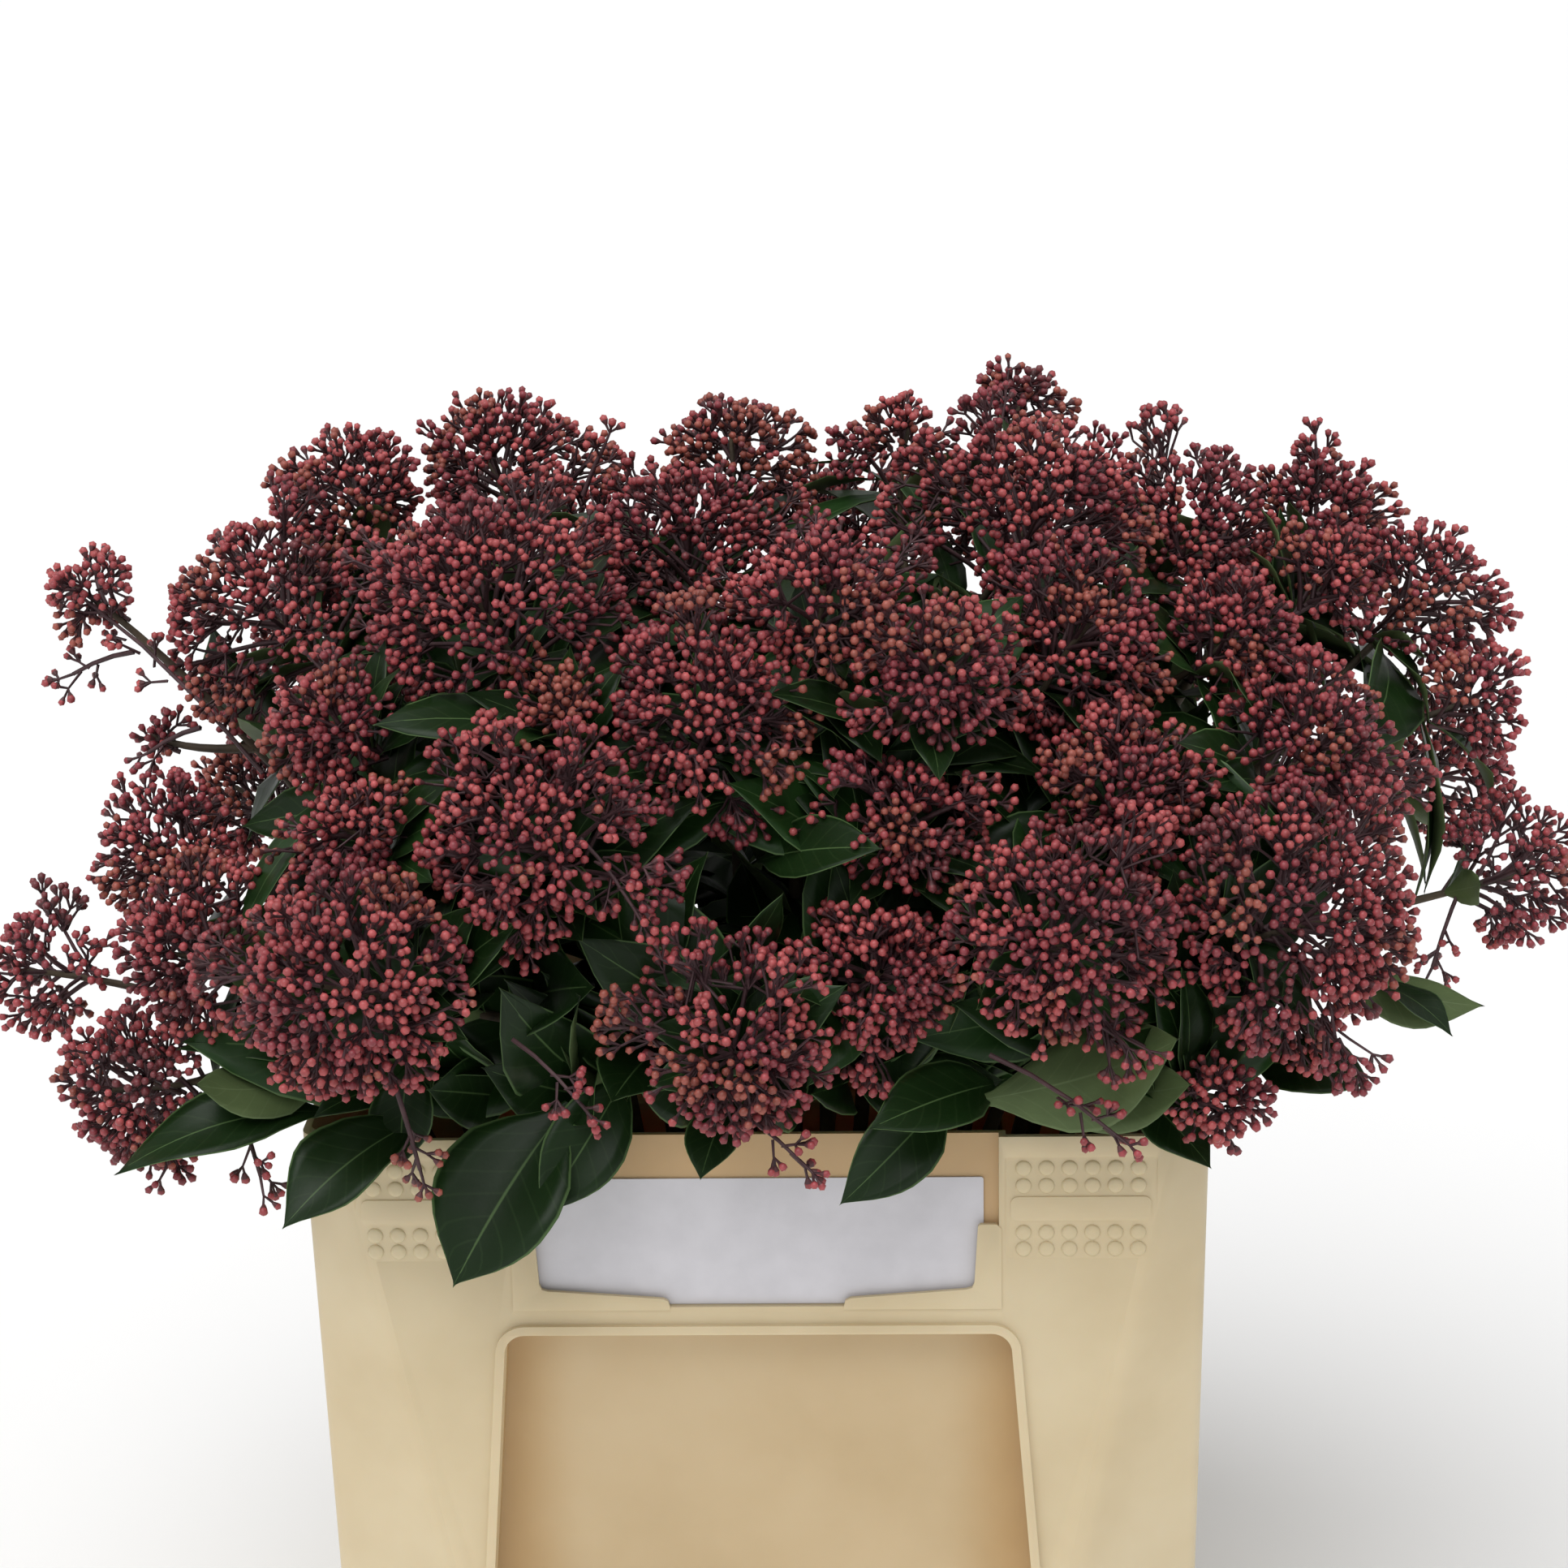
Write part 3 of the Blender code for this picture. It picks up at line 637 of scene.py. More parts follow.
def arc(x, drop, radius, start, steps):
    """A quarter turn about a point, from an angle in degrees."""
    turns = [math.radians(start - 90 * step / steps) for step in range(steps + 1)]
    return [(x + radius * math.cos(turn), drop - radius * math.sin(turn)) for turn in turns]


def rounded(left, right, top, foot, radius):
    points = []
    for x, drop, start in (
        (right - radius, top + radius, 90),
        (right - radius, foot - radius, 0),
        (left + radius, foot - radius, -90),
        (left + radius, top + radius, -180),
    ):
        points += arc(x, drop, radius, start, 5)
    return points


def window_half(drop):
    return WINDOW_HALF + WINDOW_SPREAD * (drop - WINDOW_TOP)


def window_outline(grow):
    radius = WINDOW_RADIUS + grow
    points = arc(WINDOW_HALF + grow - radius, WINDOW_TOP - grow + radius, radius, 90, 8)
    points += arc(window_half(WINDOW_FOOT) + grow - radius, WINDOW_FOOT + grow - radius, radius, 0, 8)
    return points + [(-x, drop) for x, drop in reversed(points)]


def holder_arm(sign):
    """An L that keeps the card in its niche: an upright at the edge and a foot that tapers inwards."""
    edge = NICHE_HALF + 1 * MM
    foot = NICHE_FOOT + 1 * MM
    high, low = HOLDER_RISE
    inner = edge - HOLDER_ARM
    bend = foot - high - 2 * MM
    outline = [
        (edge, HOLDER_TOP + 2 * MM),
        (edge - 2 * MM, HOLDER_TOP),
        (inner + 1 * MM, HOLDER_TOP),
        (inner, HOLDER_TOP + 1 * MM),
        (inner - 1.6 * MM, bend - 3 * MM),
        (inner - 2.6 * MM, bend - 0.8 * MM),
        (inner - 5 * MM, bend),
        (edge - HOLDER_REACH + 3 * MM, foot - low - 1.2 * MM),
        (edge - HOLDER_REACH + 0.8 * MM, foot - low),
        (edge - HOLDER_REACH, foot - 1 * MM),
        (edge - HOLDER_REACH, foot),
        (edge, foot),
    ]
    return [(sign * x, drop) for x, drop in outline]


def container_steps(side):
    """A long face's solids: cut first, then joined, cut last, and left by the inside."""
    cuts = [prism(rectangle(-NICHE_HALF, NICHE_HALF, -THROUGH, NICHE_FOOT), -THROUGH, NICHE_DEPTH, side)]
    joins = [prism(window_outline(BEAD_WIDTH), -BEAD_HEIGHT, WALL, side)]
    for sign in (-1, 1):
        near, far = sorted((sign * FIELD_NEAR, sign * FIELD_FAR))
        outline = rounded(near, far, FIELD_TOP, FIELD_FOOT, 2 * MM)
        cuts.append(prism(outline, -THROUGH, FIELD_DEPTH, side))
        for middle, top, foot in GROOVES:
            left = sign * middle - GROOVE_WIDTH / 2
            outline = rounded(left, left + GROOVE_WIDTH, top, foot, 3 * MM)
            cuts.append(prism(outline, -THROUGH, FIELD_DEPTH, side))
        joins.append(prism(holder_arm(sign), 0, HOLDER_THICK, side))
        half, top, foot, radius, rise = PLATE
        middle = (near + far) / 2
        outline = rounded(middle - half, middle + half, top, foot, radius)
        joins.append(prism(outline, FIELD_DEPTH - rise, WALL, side))
    last = prism(window_outline(0), -BEAD_HEIGHT - THROUGH, WINDOW_DEPTH, side)
    inner_window = prism(window_outline(WALL), -THROUGH, WINDOW_DEPTH + WALL, side)
    half = NICHE_HALF + WALL
    outline = rectangle(-half, half, -4 * THROUGH, NICHE_FOOT + WALL)
    inner_niche = prism(outline, -THROUGH, NICHE_DEPTH + WALL, side)
    return cuts, joins, [last], [inner_window, inner_niche]


def apply_booleans(obj, steps):
    """Changes the object's mesh by each (operation, cutter) in turn. The cutters are then removed."""
    for operation, cutter in steps:
        modifier = obj.modifiers.new(operation, "BOOLEAN")
        modifier.operation = operation
        modifier.object = cutter
    bake(obj)
    for _, cutter in steps:
        bpy.data.objects.remove(cutter)


def bake(obj):
    graph = bpy.context.evaluated_depsgraph_get()
    mesh = bpy.data.meshes.new_from_object(obj.evaluated_get(graph))
    obj.modifiers.clear()
    obj.data = mesh


def soften(obj, width):
    """Clears needless edges from flat faces, then rounds the sharp edges that are left."""
    bm = bmesh.new()
    bm.from_mesh(obj.data)
    bmesh.ops.remove_doubles(bm, verts=bm.verts, dist=0.01 * MM)
    bmesh.ops.dissolve_limit(bm, angle_limit=math.radians(0.5), verts=bm.verts, edges=bm.edges)
    bm.to_mesh(obj.data)
    bm.free()
    bevel = obj.modifiers.new("soft edges", "BEVEL")
    bevel.width = width
    bevel.segments = 2
    bevel.limit_method = "ANGLE"
    bevel.angle_limit = math.radians(28)
    bevel.use_clamp_overlap = True
    bevel.miter_outer = "MITER_ARC"
    bake(obj)
    obj.data.shade_smooth()
    obj.data.set_sharp_from_angle(angle=math.radians(38))


def add_dot(bm, place, x, z):
    rings = []
    for share, rise in DOT_PROFILE:
        y = FIELD_DEPTH - rise * DOT_HEIGHT
        across = DOT_RADIUS * share
        turns = [2 * math.pi * k / DOT_SIDES for k in range(DOT_SIDES)]
        spots = [Vector((x + across * math.cos(turn), y, z + across * math.sin(turn))) for turn in turns]
        rings.append([bm.verts.new(place @ spot) for spot in spots])
    loft(bm, rings)
    bm.faces.new(rings[-1])
    bm.faces.new(reversed(rings[0]))


def add_dots(bm, side):
    """Rows of low round dots in both fields of a face."""
    place = face_place(side)
    for sign in (-1, 1):
        middle = sign * (FIELD_NEAR + FIELD_FAR) / 2
        for row in DOT_ROWS:
            for column in range(DOT_COLUMNS):
                add_dot(bm, place, middle + (column - (DOT_COLUMNS - 1) / 2) * DOT_PITCH, -row)


def add_container():
    tub = tub_solid("container_body", 0, HEIGHT, 0)
    inside = tub_solid("inside", -20 * MM, HEIGHT - FLOOR, WALL)
    cuts, joins, last, kept = zip(*(container_steps(side) for side in (-1, 1)))

    def as_steps(operation, shapes):
        return [(operation, shape) for of_side in shapes for shape in of_side]

    apply_booleans(inside, as_steps("DIFFERENCE", kept))
    steps = as_steps("DIFFERENCE", cuts) + [("DIFFERENCE", inside)]
    apply_booleans(tub, steps + as_steps("UNION", joins) + as_steps("DIFFERENCE", last))
    soften(tub, SOFT_EDGE)
    bm = bmesh.new()
    for side in (-1, 1):
        add_dots(bm, side)
    dots = add_object("container_dots", bm)
    dots.data.shade_smooth()
    plastic = plastic_material()
    for piece in (tub, dots):
        piece.data.materials.append(plastic)
        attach(piece, "root")
    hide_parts("container")


def add_card():
    """The plain white card in its niche, with rounded corners."""
    behind = NICHE_DEPTH - GAP
    foot = NICHE_FOOT - GAP
    outline = rounded(-CARD_HALF, CARD_HALF, foot - CARD_HEIGHT, foot, 1.2 * MM)
    card = prism(outline, behind - CARD_THICK, behind, -1, "card_blank")
    card.data.materials.append(plain_material("white_card"))
    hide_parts("card")
    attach(card, "root")


def lean_of(point):
    return unit(point - np.array((0, 0, LEAN_HEIGHT)))


def tip_of(panicles):
    """Where a mass's stem ends: below the middle of its panicles, clear of the rim."""
    middle = panicles[:, :3].mean(axis=0)
    tip = middle - lean_of(middle) * (panicles[:, 3].max() + TIP_DROP)
    tip[2] = max(tip[2], LOWEST_TIP)
    return tip


def stem_bend(foot, tip):
    bend = foot + (tip - foot) * STEM_BEND_SHARE
    far = max(abs(bend[0]) / STEM_BEND_REACH[0], abs(bend[1]) / STEM_BEND_REACH[1], 1)
    return np.array((bend[0] / far, bend[1] / far, min(STEM_BEND_HEIGHT, tip[2])))


def walls_between(index, panicles):
    """The planes between a panicle and all the others, as normals and distances."""
    centre = panicles[index, :3]
    radius = panicles[index, 3]
    others = np.delete(panicles, index, axis=0)
    apart = others[:, :3] - centre
    distance = np.linalg.norm(apart, axis=1)
    normals = apart / distance[:, None]
    along = (distance**2 + radius**2 - others[:, 3] ** 2) / (2 * distance)
    return normals, normals @ centre + along - SPACE_MARGIN


def in_tub(points, margin, front):
    """True for each point inside the container, made larger by a margin, and by another at its long faces."""
    x, y, z = np.moveaxis(np.abs(points), -1, 0)
    return (z < HEIGHT + margin) & (x < HALF_LENGTH + margin) & (y < HALF_DEPTH + front)


def roomy(points, walls, margin):
    """True for each point that lies inside the walls and off the container, by a margin."""
    normals, distances = walls
    inside = np.all(points @ normals.T <= distances - margin, axis=-1)
    return inside & ~in_tub(points, TUB_MARGIN, BEAD_HEIGHT + TUB_MARGIN)


def sunflower(count, radius, draw):
    """Evenly spread offsets in a disc, and their distance from its middle."""
    k = np.arange(count)
    reach = radius * np.sqrt((k + 0.35) / count)
    angle = k * GOLDEN_ANGLE + draw.uniform(0, 2 * np.pi)
    return reach * np.cos(angle), reach * np.sin(angle), reach


class Growth:
    """What all the panicles hold, gathered until it is made into pieces."""

    def __init__(self):
        self.rays = []
        self.twigs = []
        self.stalks = []
        self.buds = []

    def clear_of(self, leaves):
        """Drops the buds that a leaf's blade would cut, with their stalks."""
        mesh = leaves.data
        blades = BVHTree.FromPolygons([v.co for v in mesh.vertices], [p.vertices for p in mesh.polygons])
        free = [blades.find_nearest(bud[:3], BUD_RADIUS * BLADE_CLEAR)[0] is None for bud in self.buds]
        self.buds = [bud for bud, kept in zip(self.buds, free) if kept]
        self.stalks = [stalk for stalk, kept in zip(self.stalks, free) if kept]


def openness(centre):
    """How lacy a panicle is, from 0 to 1: the left, right and upper edges of the bunch are the open ones."""
    x, y, z = centre / MM
    side = (abs(x - 20) - 235) / 120 if y > -130 else 0
    return float(np.clip(max(side, (z - 575) / 60), 0, 1))


def ray_reach(radius, out, lean, centre, walls, draw, most):
    """How far a ray goes: the dome's own reach, or on to the next panicle where the two are close."""
    reach = radius * draw.uniform(*RAY_REACH)
    reach *= 1 - (1 - DOME_SQUASH) * abs(out @ lean) - LOW_SHORT * max(0, -out[2])
    normals, distances = walls
    facing = normals @ out
    ahead = (distances - normals @ centre)[facing > 0.05] / facing[facing > 0.05]
    wall = ahead.min() - WALL_SHORT if len(ahead) else FAR
    if wall < radius * most:
        low = FILL_HEIGHT * radius / max(out @ lean, 0.01)
        return min(wall, max(reach, min(low, radius * most)))
    return reach


def outward(axes, angle):
    """The direction at an angle round an axis, from the two that are square to it."""
    return axes[0] * math.cos(angle) + axes[1] * math.sin(angle)


def bunch(origin, aim, reach, count, spread, rises, draw):
    """Spots for buds round a direction: a disc's worth, lower towards its edge."""
    across, beside = frames(aim)
    x, y, off = sunflower(count, spread, draw)
    rise = reach - off**2 / CLUSTER_ROUND + draw.uniform(*rises, count) * MM
    return origin + aim * rise[:, None] + across * x[:, None] + beside * y[:, None]


class Cluster:
    """Adds clusters of buds on short stalks to the growth, and keeps the buds of one panicle apart."""

    def __init__(self, growth, walls, index):
        self.growth = growth
        self.walls = walls
        self.index = index
        self.placed = np.zeros((0, 3))

    def add(self, root, middle, end, spots, tint):
        """A twig from root to end with a bud on a stalk at each spot that is free."""
        fresh = []
        for spot in spots[roomy(spots, self.walls, BUD_RADIUS)]:
            near = np.vstack([self.placed, *fresh])
            if not len(near) or np.min(np.linalg.norm(near - spot, axis=1)) >= BUD_APART:
                fresh.append(spot)
        if not fresh:
            return
        self.placed = np.vstack([self.placed, fresh])
        self.growth.twigs.append((root, middle, end))
        for spot in fresh:
            self.growth.stalks.append((end, spot))
            self.growth.buds.append((*spot, *unit(spot - end), tint, self.index))


def dome(lean, count, turn):
    """Directions spread evenly over the dome about an axis, each with its height along the axis."""
    axes = frames(lean)
    for k in range(count):
        height = 1 - 2 * (k + 0.5) / count
        if height > DOME_UNDERCUT:
            flat = outward(axes, turn + k * GOLDEN_ANGLE) * math.sqrt(1 - height**2)
            yield height, lean * height + flat


def cover(cluster, panicle, lean, lace, turn, aims, rays, draw):
    """Clusters where a panicle's surface is still bare, each on a twig from the nearest ray."""
    centre, radius = panicle[:3], panicle[3]
    for _, out in dome(lean, round(4 * (radius / COVER_SPREAD) ** 2), turn):
        out = unit(out)
        reach = ray_reach(radius, out, lean, centre, cluster.walls, draw, COVER_MOST)
        reach -= draw.uniform(*COVER_DROP) * MM
        spot = centre + out * reach
        apart = np.linalg.norm(cluster.placed - spot, axis=1)
        if apart.min() < COVER_GAP or not roomy(spot, cluster.walls, RAY_MARGIN):
            continue
        ray = rays[int(np.argmax(aims @ out))]
        root = ray[1] + (ray[3] - ray[1]) * draw.uniform(*COVER_ROOT)
        end = spot - out * TWIG_BACK
        buds = int(draw.integers(*COVER_BUDS))
        spots = bunch(centre, out, reach, buds, TWIG_SPREAD * COVER_TIGHT, BUD_RISES, draw)
        cluster.add(root, (root + end) / 2, end, spots, draw.uniform(LACY_TINT * lace, 1))


def grow_panicle(index, panicles, lean, growth, draw, warm):
    """One panicle: rays from its middle stem, twigs from the rays, and buds on short stalks from the twigs.

    Returns the middle stem's foot and top.
    """
    centre = panicles[index, :3]
    radius = panicles[index, 3]
    walls = walls_between(index, panicles)
    cluster = Cluster(growth, walls, index)
    lace = openness(centre)
    twigs = round(TWIGS - LACY_TWIGS * lace)
    deep = DEEP_TWIGS if centre[1] < FRONT else 1
    most = FILL_MOST - LACY_FILL * lace
    spacing = RAY_SPREAD * (1 + LACY_SPREAD * lace)
    total = max(RAYS_LEAST, round(4 * (radius / spacing) ** 2 * RAY_COVER))
    turn = draw.uniform(0, 2 * np.pi)
    aims = []
    rays = []
    for height, out in dome(lean, total, turn):
        out = unit(out + draw.normal(0, RAY_SHAKE, 3))
        reach = ray_reach(radius, out, lean, centre, walls, draw, most)
        free = [share for share in RAY_SHARES if roomy(centre + out * reach * share, walls, RAY_MARGIN)]
        if not free:
            continue
        reach *= free[0]
        is_warm = warm and draw.uniform() < WARM_SHARE
        tint = draw.uniform(*WARM_TINTS) if is_warm else draw.uniform(LACY_TINT * lace, 1)
        start = centre + lean * radius * (RAY_CLIMB * (height - DOME_UNDERCUT) - STEM_BELOW)
        end = centre + out * max(reach - RAY_BACK, RAY_LEAST * reach)
        bend = start * 0.45 + end * 0.55 + lean * radius * RAY_BEND
        ray = curves([start], [bend], [end], RAY_POINTS)[0]
        growth.rays.append(ray)
        aims.append(out)
        rays.append(ray)
        u, v = frames(out)
        outer = sunflower(twigs, RAY_SPREAD, draw)
        inner = sunflower(deep, RAY_SPREAD * DEEP_SPREAD, draw)
        for number, (x, y, off) in enumerate(np.hstack([outer, inner]).T):
            is_deep = number >= twigs
            aim = unit(out * reach + (u * x + v * y) * 0.9)
            drop = draw.uniform(*(DEEP_DROP if is_deep else TWIG_DROP)) * MM
            top = reach - off**2 / (PANICLE_ROUND * radius) - drop
            if top < TOP_LEAST * reach:
                continue
            twig_end = centre + aim * (top - TWIG_BACK)
            root = ray[1] + (ray[3] - ray[1]) * (0.45 + 0.5 * (1 - off / RAY_SPREAD))
            buds = BUDS + int(draw.integers(-1, 2)) - (1 if lace > LACY_FROM or is_deep else 0)
            spots = bunch(centre, aim, top, buds, TWIG_SPREAD, BUD_RISES, draw)
            cluster.add(root, (root + twig_end) / 2 + out * TWIG_BEND * MM, twig_end, spots, tint)
    if aims and lace < COVER_LACE:
        cover(cluster, panicles[index], lean, lace, turn + 1, np.array(aims), rays, draw)
    return centre - lean * radius * STEM_BELOW, centre + lean * radius * STEM_ABOVE


# Loose sprigs below the heads or out from them: root and end in millimetres, and how many groups of buds.
SPRIGS = (
    ((-95, -196, 414), (-66, -222, 396), 5),
    ((-146, -200, 404), (-134, -208, 362), 5),
    ((-66, -178, 494), (-44, -200, 472), 4),
    ((-4, -205, 386), (22, -220, 370), 4),
    ((100, -180, 400), (150, -212, 377), 6),
    ((-222, -138, 366), (-209, -160, 340), 4),
    ((-248, -116, 352), (-256, -130, 332), 2),
    ((-218, -50, 487), (-299, -20, 560), 7),
    ((-276, -30, 538), (-306, -22, 526), 4),
    ((-246, -42, 506), (-272, -32, 492), 2),
    ((-78, 20, 596), (-68, 18, 618), 3),
    ((313, -40, 427), (299, -55, 394), 5),
    ((110, 72, 612), (114, 76, 632), 4),
    ((258, 72, 582), (257, 72, 603), 5),
)


def grow_sprigs(growth, panicles):
    """The loose sprigs: a side branch with groups of buds along its outer half."""
    draw = np.random.default_rng([SEED, 9])
    for root, end, groups in SPRIGS:
        root, end = np.array(root, float) * MM, np.array(end, float) * MM
        bend = (root + end) / 2 + np.array((0, 0, 0.1)) * np.linalg.norm(end - root)
        growth.rays.append(curves([root], [bend], [end], RAY_POINTS)[0])
        along = unit(end - root)
        axes = frames(along)
        nearest = int(np.argmin(np.linalg.norm(panicles[:, :3] - end, axis=1)))
        cluster = Cluster(growth, (np.zeros((1, 3)), np.ones(1)), nearest)
        tint = draw.uniform()
        for k in range(groups):
            spot = root + (end - root) * (1 - 0.55 * k / groups)
            aim = unit(along + outward(axes, k * GOLDEN_ANGLE) * (0.15 if k == 0 else 1.1))
            twig_end = spot + aim * draw.uniform(*SPRIG_TWIG) * MM
            buds = int(draw.integers(*SPRIG_BUDS))
            spots = bunch(twig_end, aim, 0, buds, TWIG_SPREAD, SPRIG_RISES, draw)
            cluster.add(spot, (spot + twig_end) / 2, twig_end, spots, tint)


# The tints, each with its share of the buds and its colour. A warm head takes the fourth.
BUD_TINTS = (
    ("coral", 0.26, (0.40, 0.077, 0.079)),
    ("red", 0.32, (0.32, 0.055, 0.062)),
    ("crimson", 0.24, (0.24, 0.040, 0.051)),
    ("russet", 0.12, (0.30, 0.078, 0.057)),
    ("maroon", 0.06, (0.16, 0.034, 0.040)),
)
# Whether a head is in full sight, the word for it, how light its buds are painted and how many sides they
# have. The lightness is painted light: near heads' buds a little darker, far heads' lighter.
BUD_SIDES_AND_PAINTED_LIGHT = ((True, "near", 0.96, 6), (False, "far", 1.05, 5))
BUD_SIZES = (0.84, 1.1)
BUD_RINGS = ((-1.4, 0.36), (-0.35, 0.84), (0.5, 0.9))
BUD_TOP = 1.08
PIECE_MOST = 180000


def bud_shape(sides):
    """A drop-shaped bud about the origin along +Z, for a radius of one: verts, triangles and their slots.

    The lowest band is the calyx, in the second slot.
    """
    verts = []
    for k, (z, r) in enumerate(BUD_RINGS):
        for i in range(sides):
            angle = 2 * math.pi * (i + 0.5 * k) / sides
            verts.append((r * math.cos(angle), r * math.sin(angle), z))
    verts.append((0, 0, BUD_TOP))
    faces = []
    for low in range(0, (len(BUD_RINGS) - 1) * sides, sides):
        high = low + sides
        for i in range(sides):
            j = (i + 1) % sides
            faces.append((low + i, low + j, high + i))
            faces.append((low + j, high + j, high + i))
    faces += [(high + i, high + (i + 1) % sides, len(verts) - 1) for i in range(sides)]
    slots = (np.arange(len(faces)) < 2 * sides).astype(int)
    return np.array(verts), np.array(faces), slots


def placed_copies(shape, places, along, sizes):
    """Copies of a shape, each turned to its own direction and scaled."""
    verts, faces, _ = shape
    x, y, z = (verts[None, :, k : k + 1] for k in range(3))
    across, beside = frames(along)
    turned = x * across[:, None] + y * beside[:, None] + z * along[:, None]
    made = places[:, None] + turned * sizes[:, None, None]
    index = np.arange(len(places))[:, None, None] * len(verts)
    return made.reshape(-1, 3), (faces[None] + index).reshape(-1, faces.shape[1])


def emit(heap, name, materials):
    piece = heap.build(name, materials)
    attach(piece, "root")
    return piece


def add_buds(buds, panicles):
    """The buds of each tint, joined into pieces."""
    buds = np.array(buds)
    front = panicles[buds[:, 7].astype(int), 1] < FRONT
    edges = np.cumsum([share for _, share, _ in BUD_TINTS])
    tint = np.searchsorted(edges, buds[:, 6] * edges[-1])
    draw = np.random.default_rng([SEED, 7])
    calyx = plain_material("calyx")
    made = []
    for k, (name, _, colour) in enumerate(BUD_TINTS):
        for near, side, light, sides in BUD_SIDES_AND_PAINTED_LIGHT:
            # Painted light: each tint's buds are painted a little darker on near heads and lighter on far
            # ones.
            paint = bud_material(f"bud_{name}_{side}", shade(colour, light))
            mine = buds[(tint == k) & (front == near)]
            shape = bud_shape(sides)
            most = PIECE_MOST // len(shape[1])
            for part, start in enumerate(range(0, len(mine), most)):
                group = mine[start : start + most]
                sizes = BUD_RADIUS * draw.uniform(*BUD_SIZES, len(group))
                heap = Heap()
                verts, faces = placed_copies(shape, group[:, :3], group[:, 3:6], sizes)
                heap.add(verts, faces, np.tile(shape[2], len(group)))
                made.append(emit(heap, f"buds_{name}_{side}_{part}", [paint, calyx]))
    return made


def add_stalks(growth):
    paint = plain_material("stalk")
    twigs = np.array(growth.twigs)
    stalks = np.array(growth.stalks)
    heap = Heap()
    heap.add(*tubes(growth.rays, np.linspace(*RAY_RADII, RAY_POINTS) * MM, 4))
    paths = curves(twigs[:, 0], twigs[:, 1], twigs[:, 2], 3)
    heap.add(*tubes(paths, np.linspace(*TWIG_RADII, 3) * MM, 3))
    emit(heap, "rays_and_twigs", [paint])
    half = len(stalks) // 2
    for part, group in enumerate((stalks[:half], stalks[half:])):
        feet, tops = group[:, 0], group[:, 1]
        ends = tops - unit(tops - feet) * BUD_RADIUS * 1.2
        heap = Heap()
        heap.add(*tubes(np.stack([feet, ends], axis=1), np.array(STALK_RADII) * MM, 3))
        emit(heap, f"stalks_{part}", [paint])


def grow_all():
    growth = Growth()
    table = [np.array(rows, float) * MM for rows in MASSES.values()]
    panicles = np.vstack(table)
    paths = []
    limbs = []
    for number, (name, own) in enumerate(zip(MASSES, table)):
        draw = np.random.default_rng([SEED, number])
        tip = tip_of(own)
        foot = np.array((tip[0] * STEM_SPREAD, tip[1] * STEM_SPREAD, FLOOR + GAP))
        paths.append(curves([foot], [stem_bend(foot, tip)], [tip], STEM_POINTS)[0])
        middle = own[:, :3].mean(axis=0)
        lean = lean_of(middle)
        fork = tip + (middle - tip) * FORK_SHARE
        for i in range(len(own)):
            warm = i == 1 and name in WARM
            low, top = grow_panicle(len(limbs), panicles, lean, growth, draw, warm)
            start = tip + (fork - tip) * LIMB_STEP * i
            limbs.append(curves([start], [low], [top], LIMB_POINTS)[0])
    grow_sprigs(growth, panicles)
    return growth, panicles, paths, limbs


LEAF_OUTLINE = (
    (0, 0.05, 0.12, 0.22, 0.36, 0.52, 0.68, 0.82, 0.93, 1.0),
    (0.07, 0.10, 0.28, 0.58, 0.88, 1.0, 0.92, 0.62, 0.24, 0.0),
)
# The ranges of a leaf's bow, sag, fold, twist and margin's wave, and of where the wave starts.
LEAF_FORM = ((0.05, 0.13), (0.0, 0.06), (0.10, 0.34), (-0.35, 0.35), (0.01, 0.035), (0, 2 * np.pi))
LEAF_WIDTH_SHARE = 0.40
LEAF_WIDTHS = (0.85, 1.15)
LEAF_LENGTH = (62 * MM, 96 * MM)
LEAF_TRIES = 30
RIB_SHARE = 0.25
DEEP_SHARE = 0.65
WHORL_LEAVES = 7
COLLAR_LEAVES = 5
BACK_LEAVES = 6
MOUTH_LEAVES = 10
MOUTH_TOP = 0.50
MOUTH_REACH = (0.25, 0.175)
SCREEN_LEAVES = 150
RIM_LEAVES = 56
CORE_LEAVES = 140
CORE_TRIES = 6000
CORE_BOX = ((-0.23, 0.25), (-0.12, 0.13), (0.39, 0.53))
FREE = 1

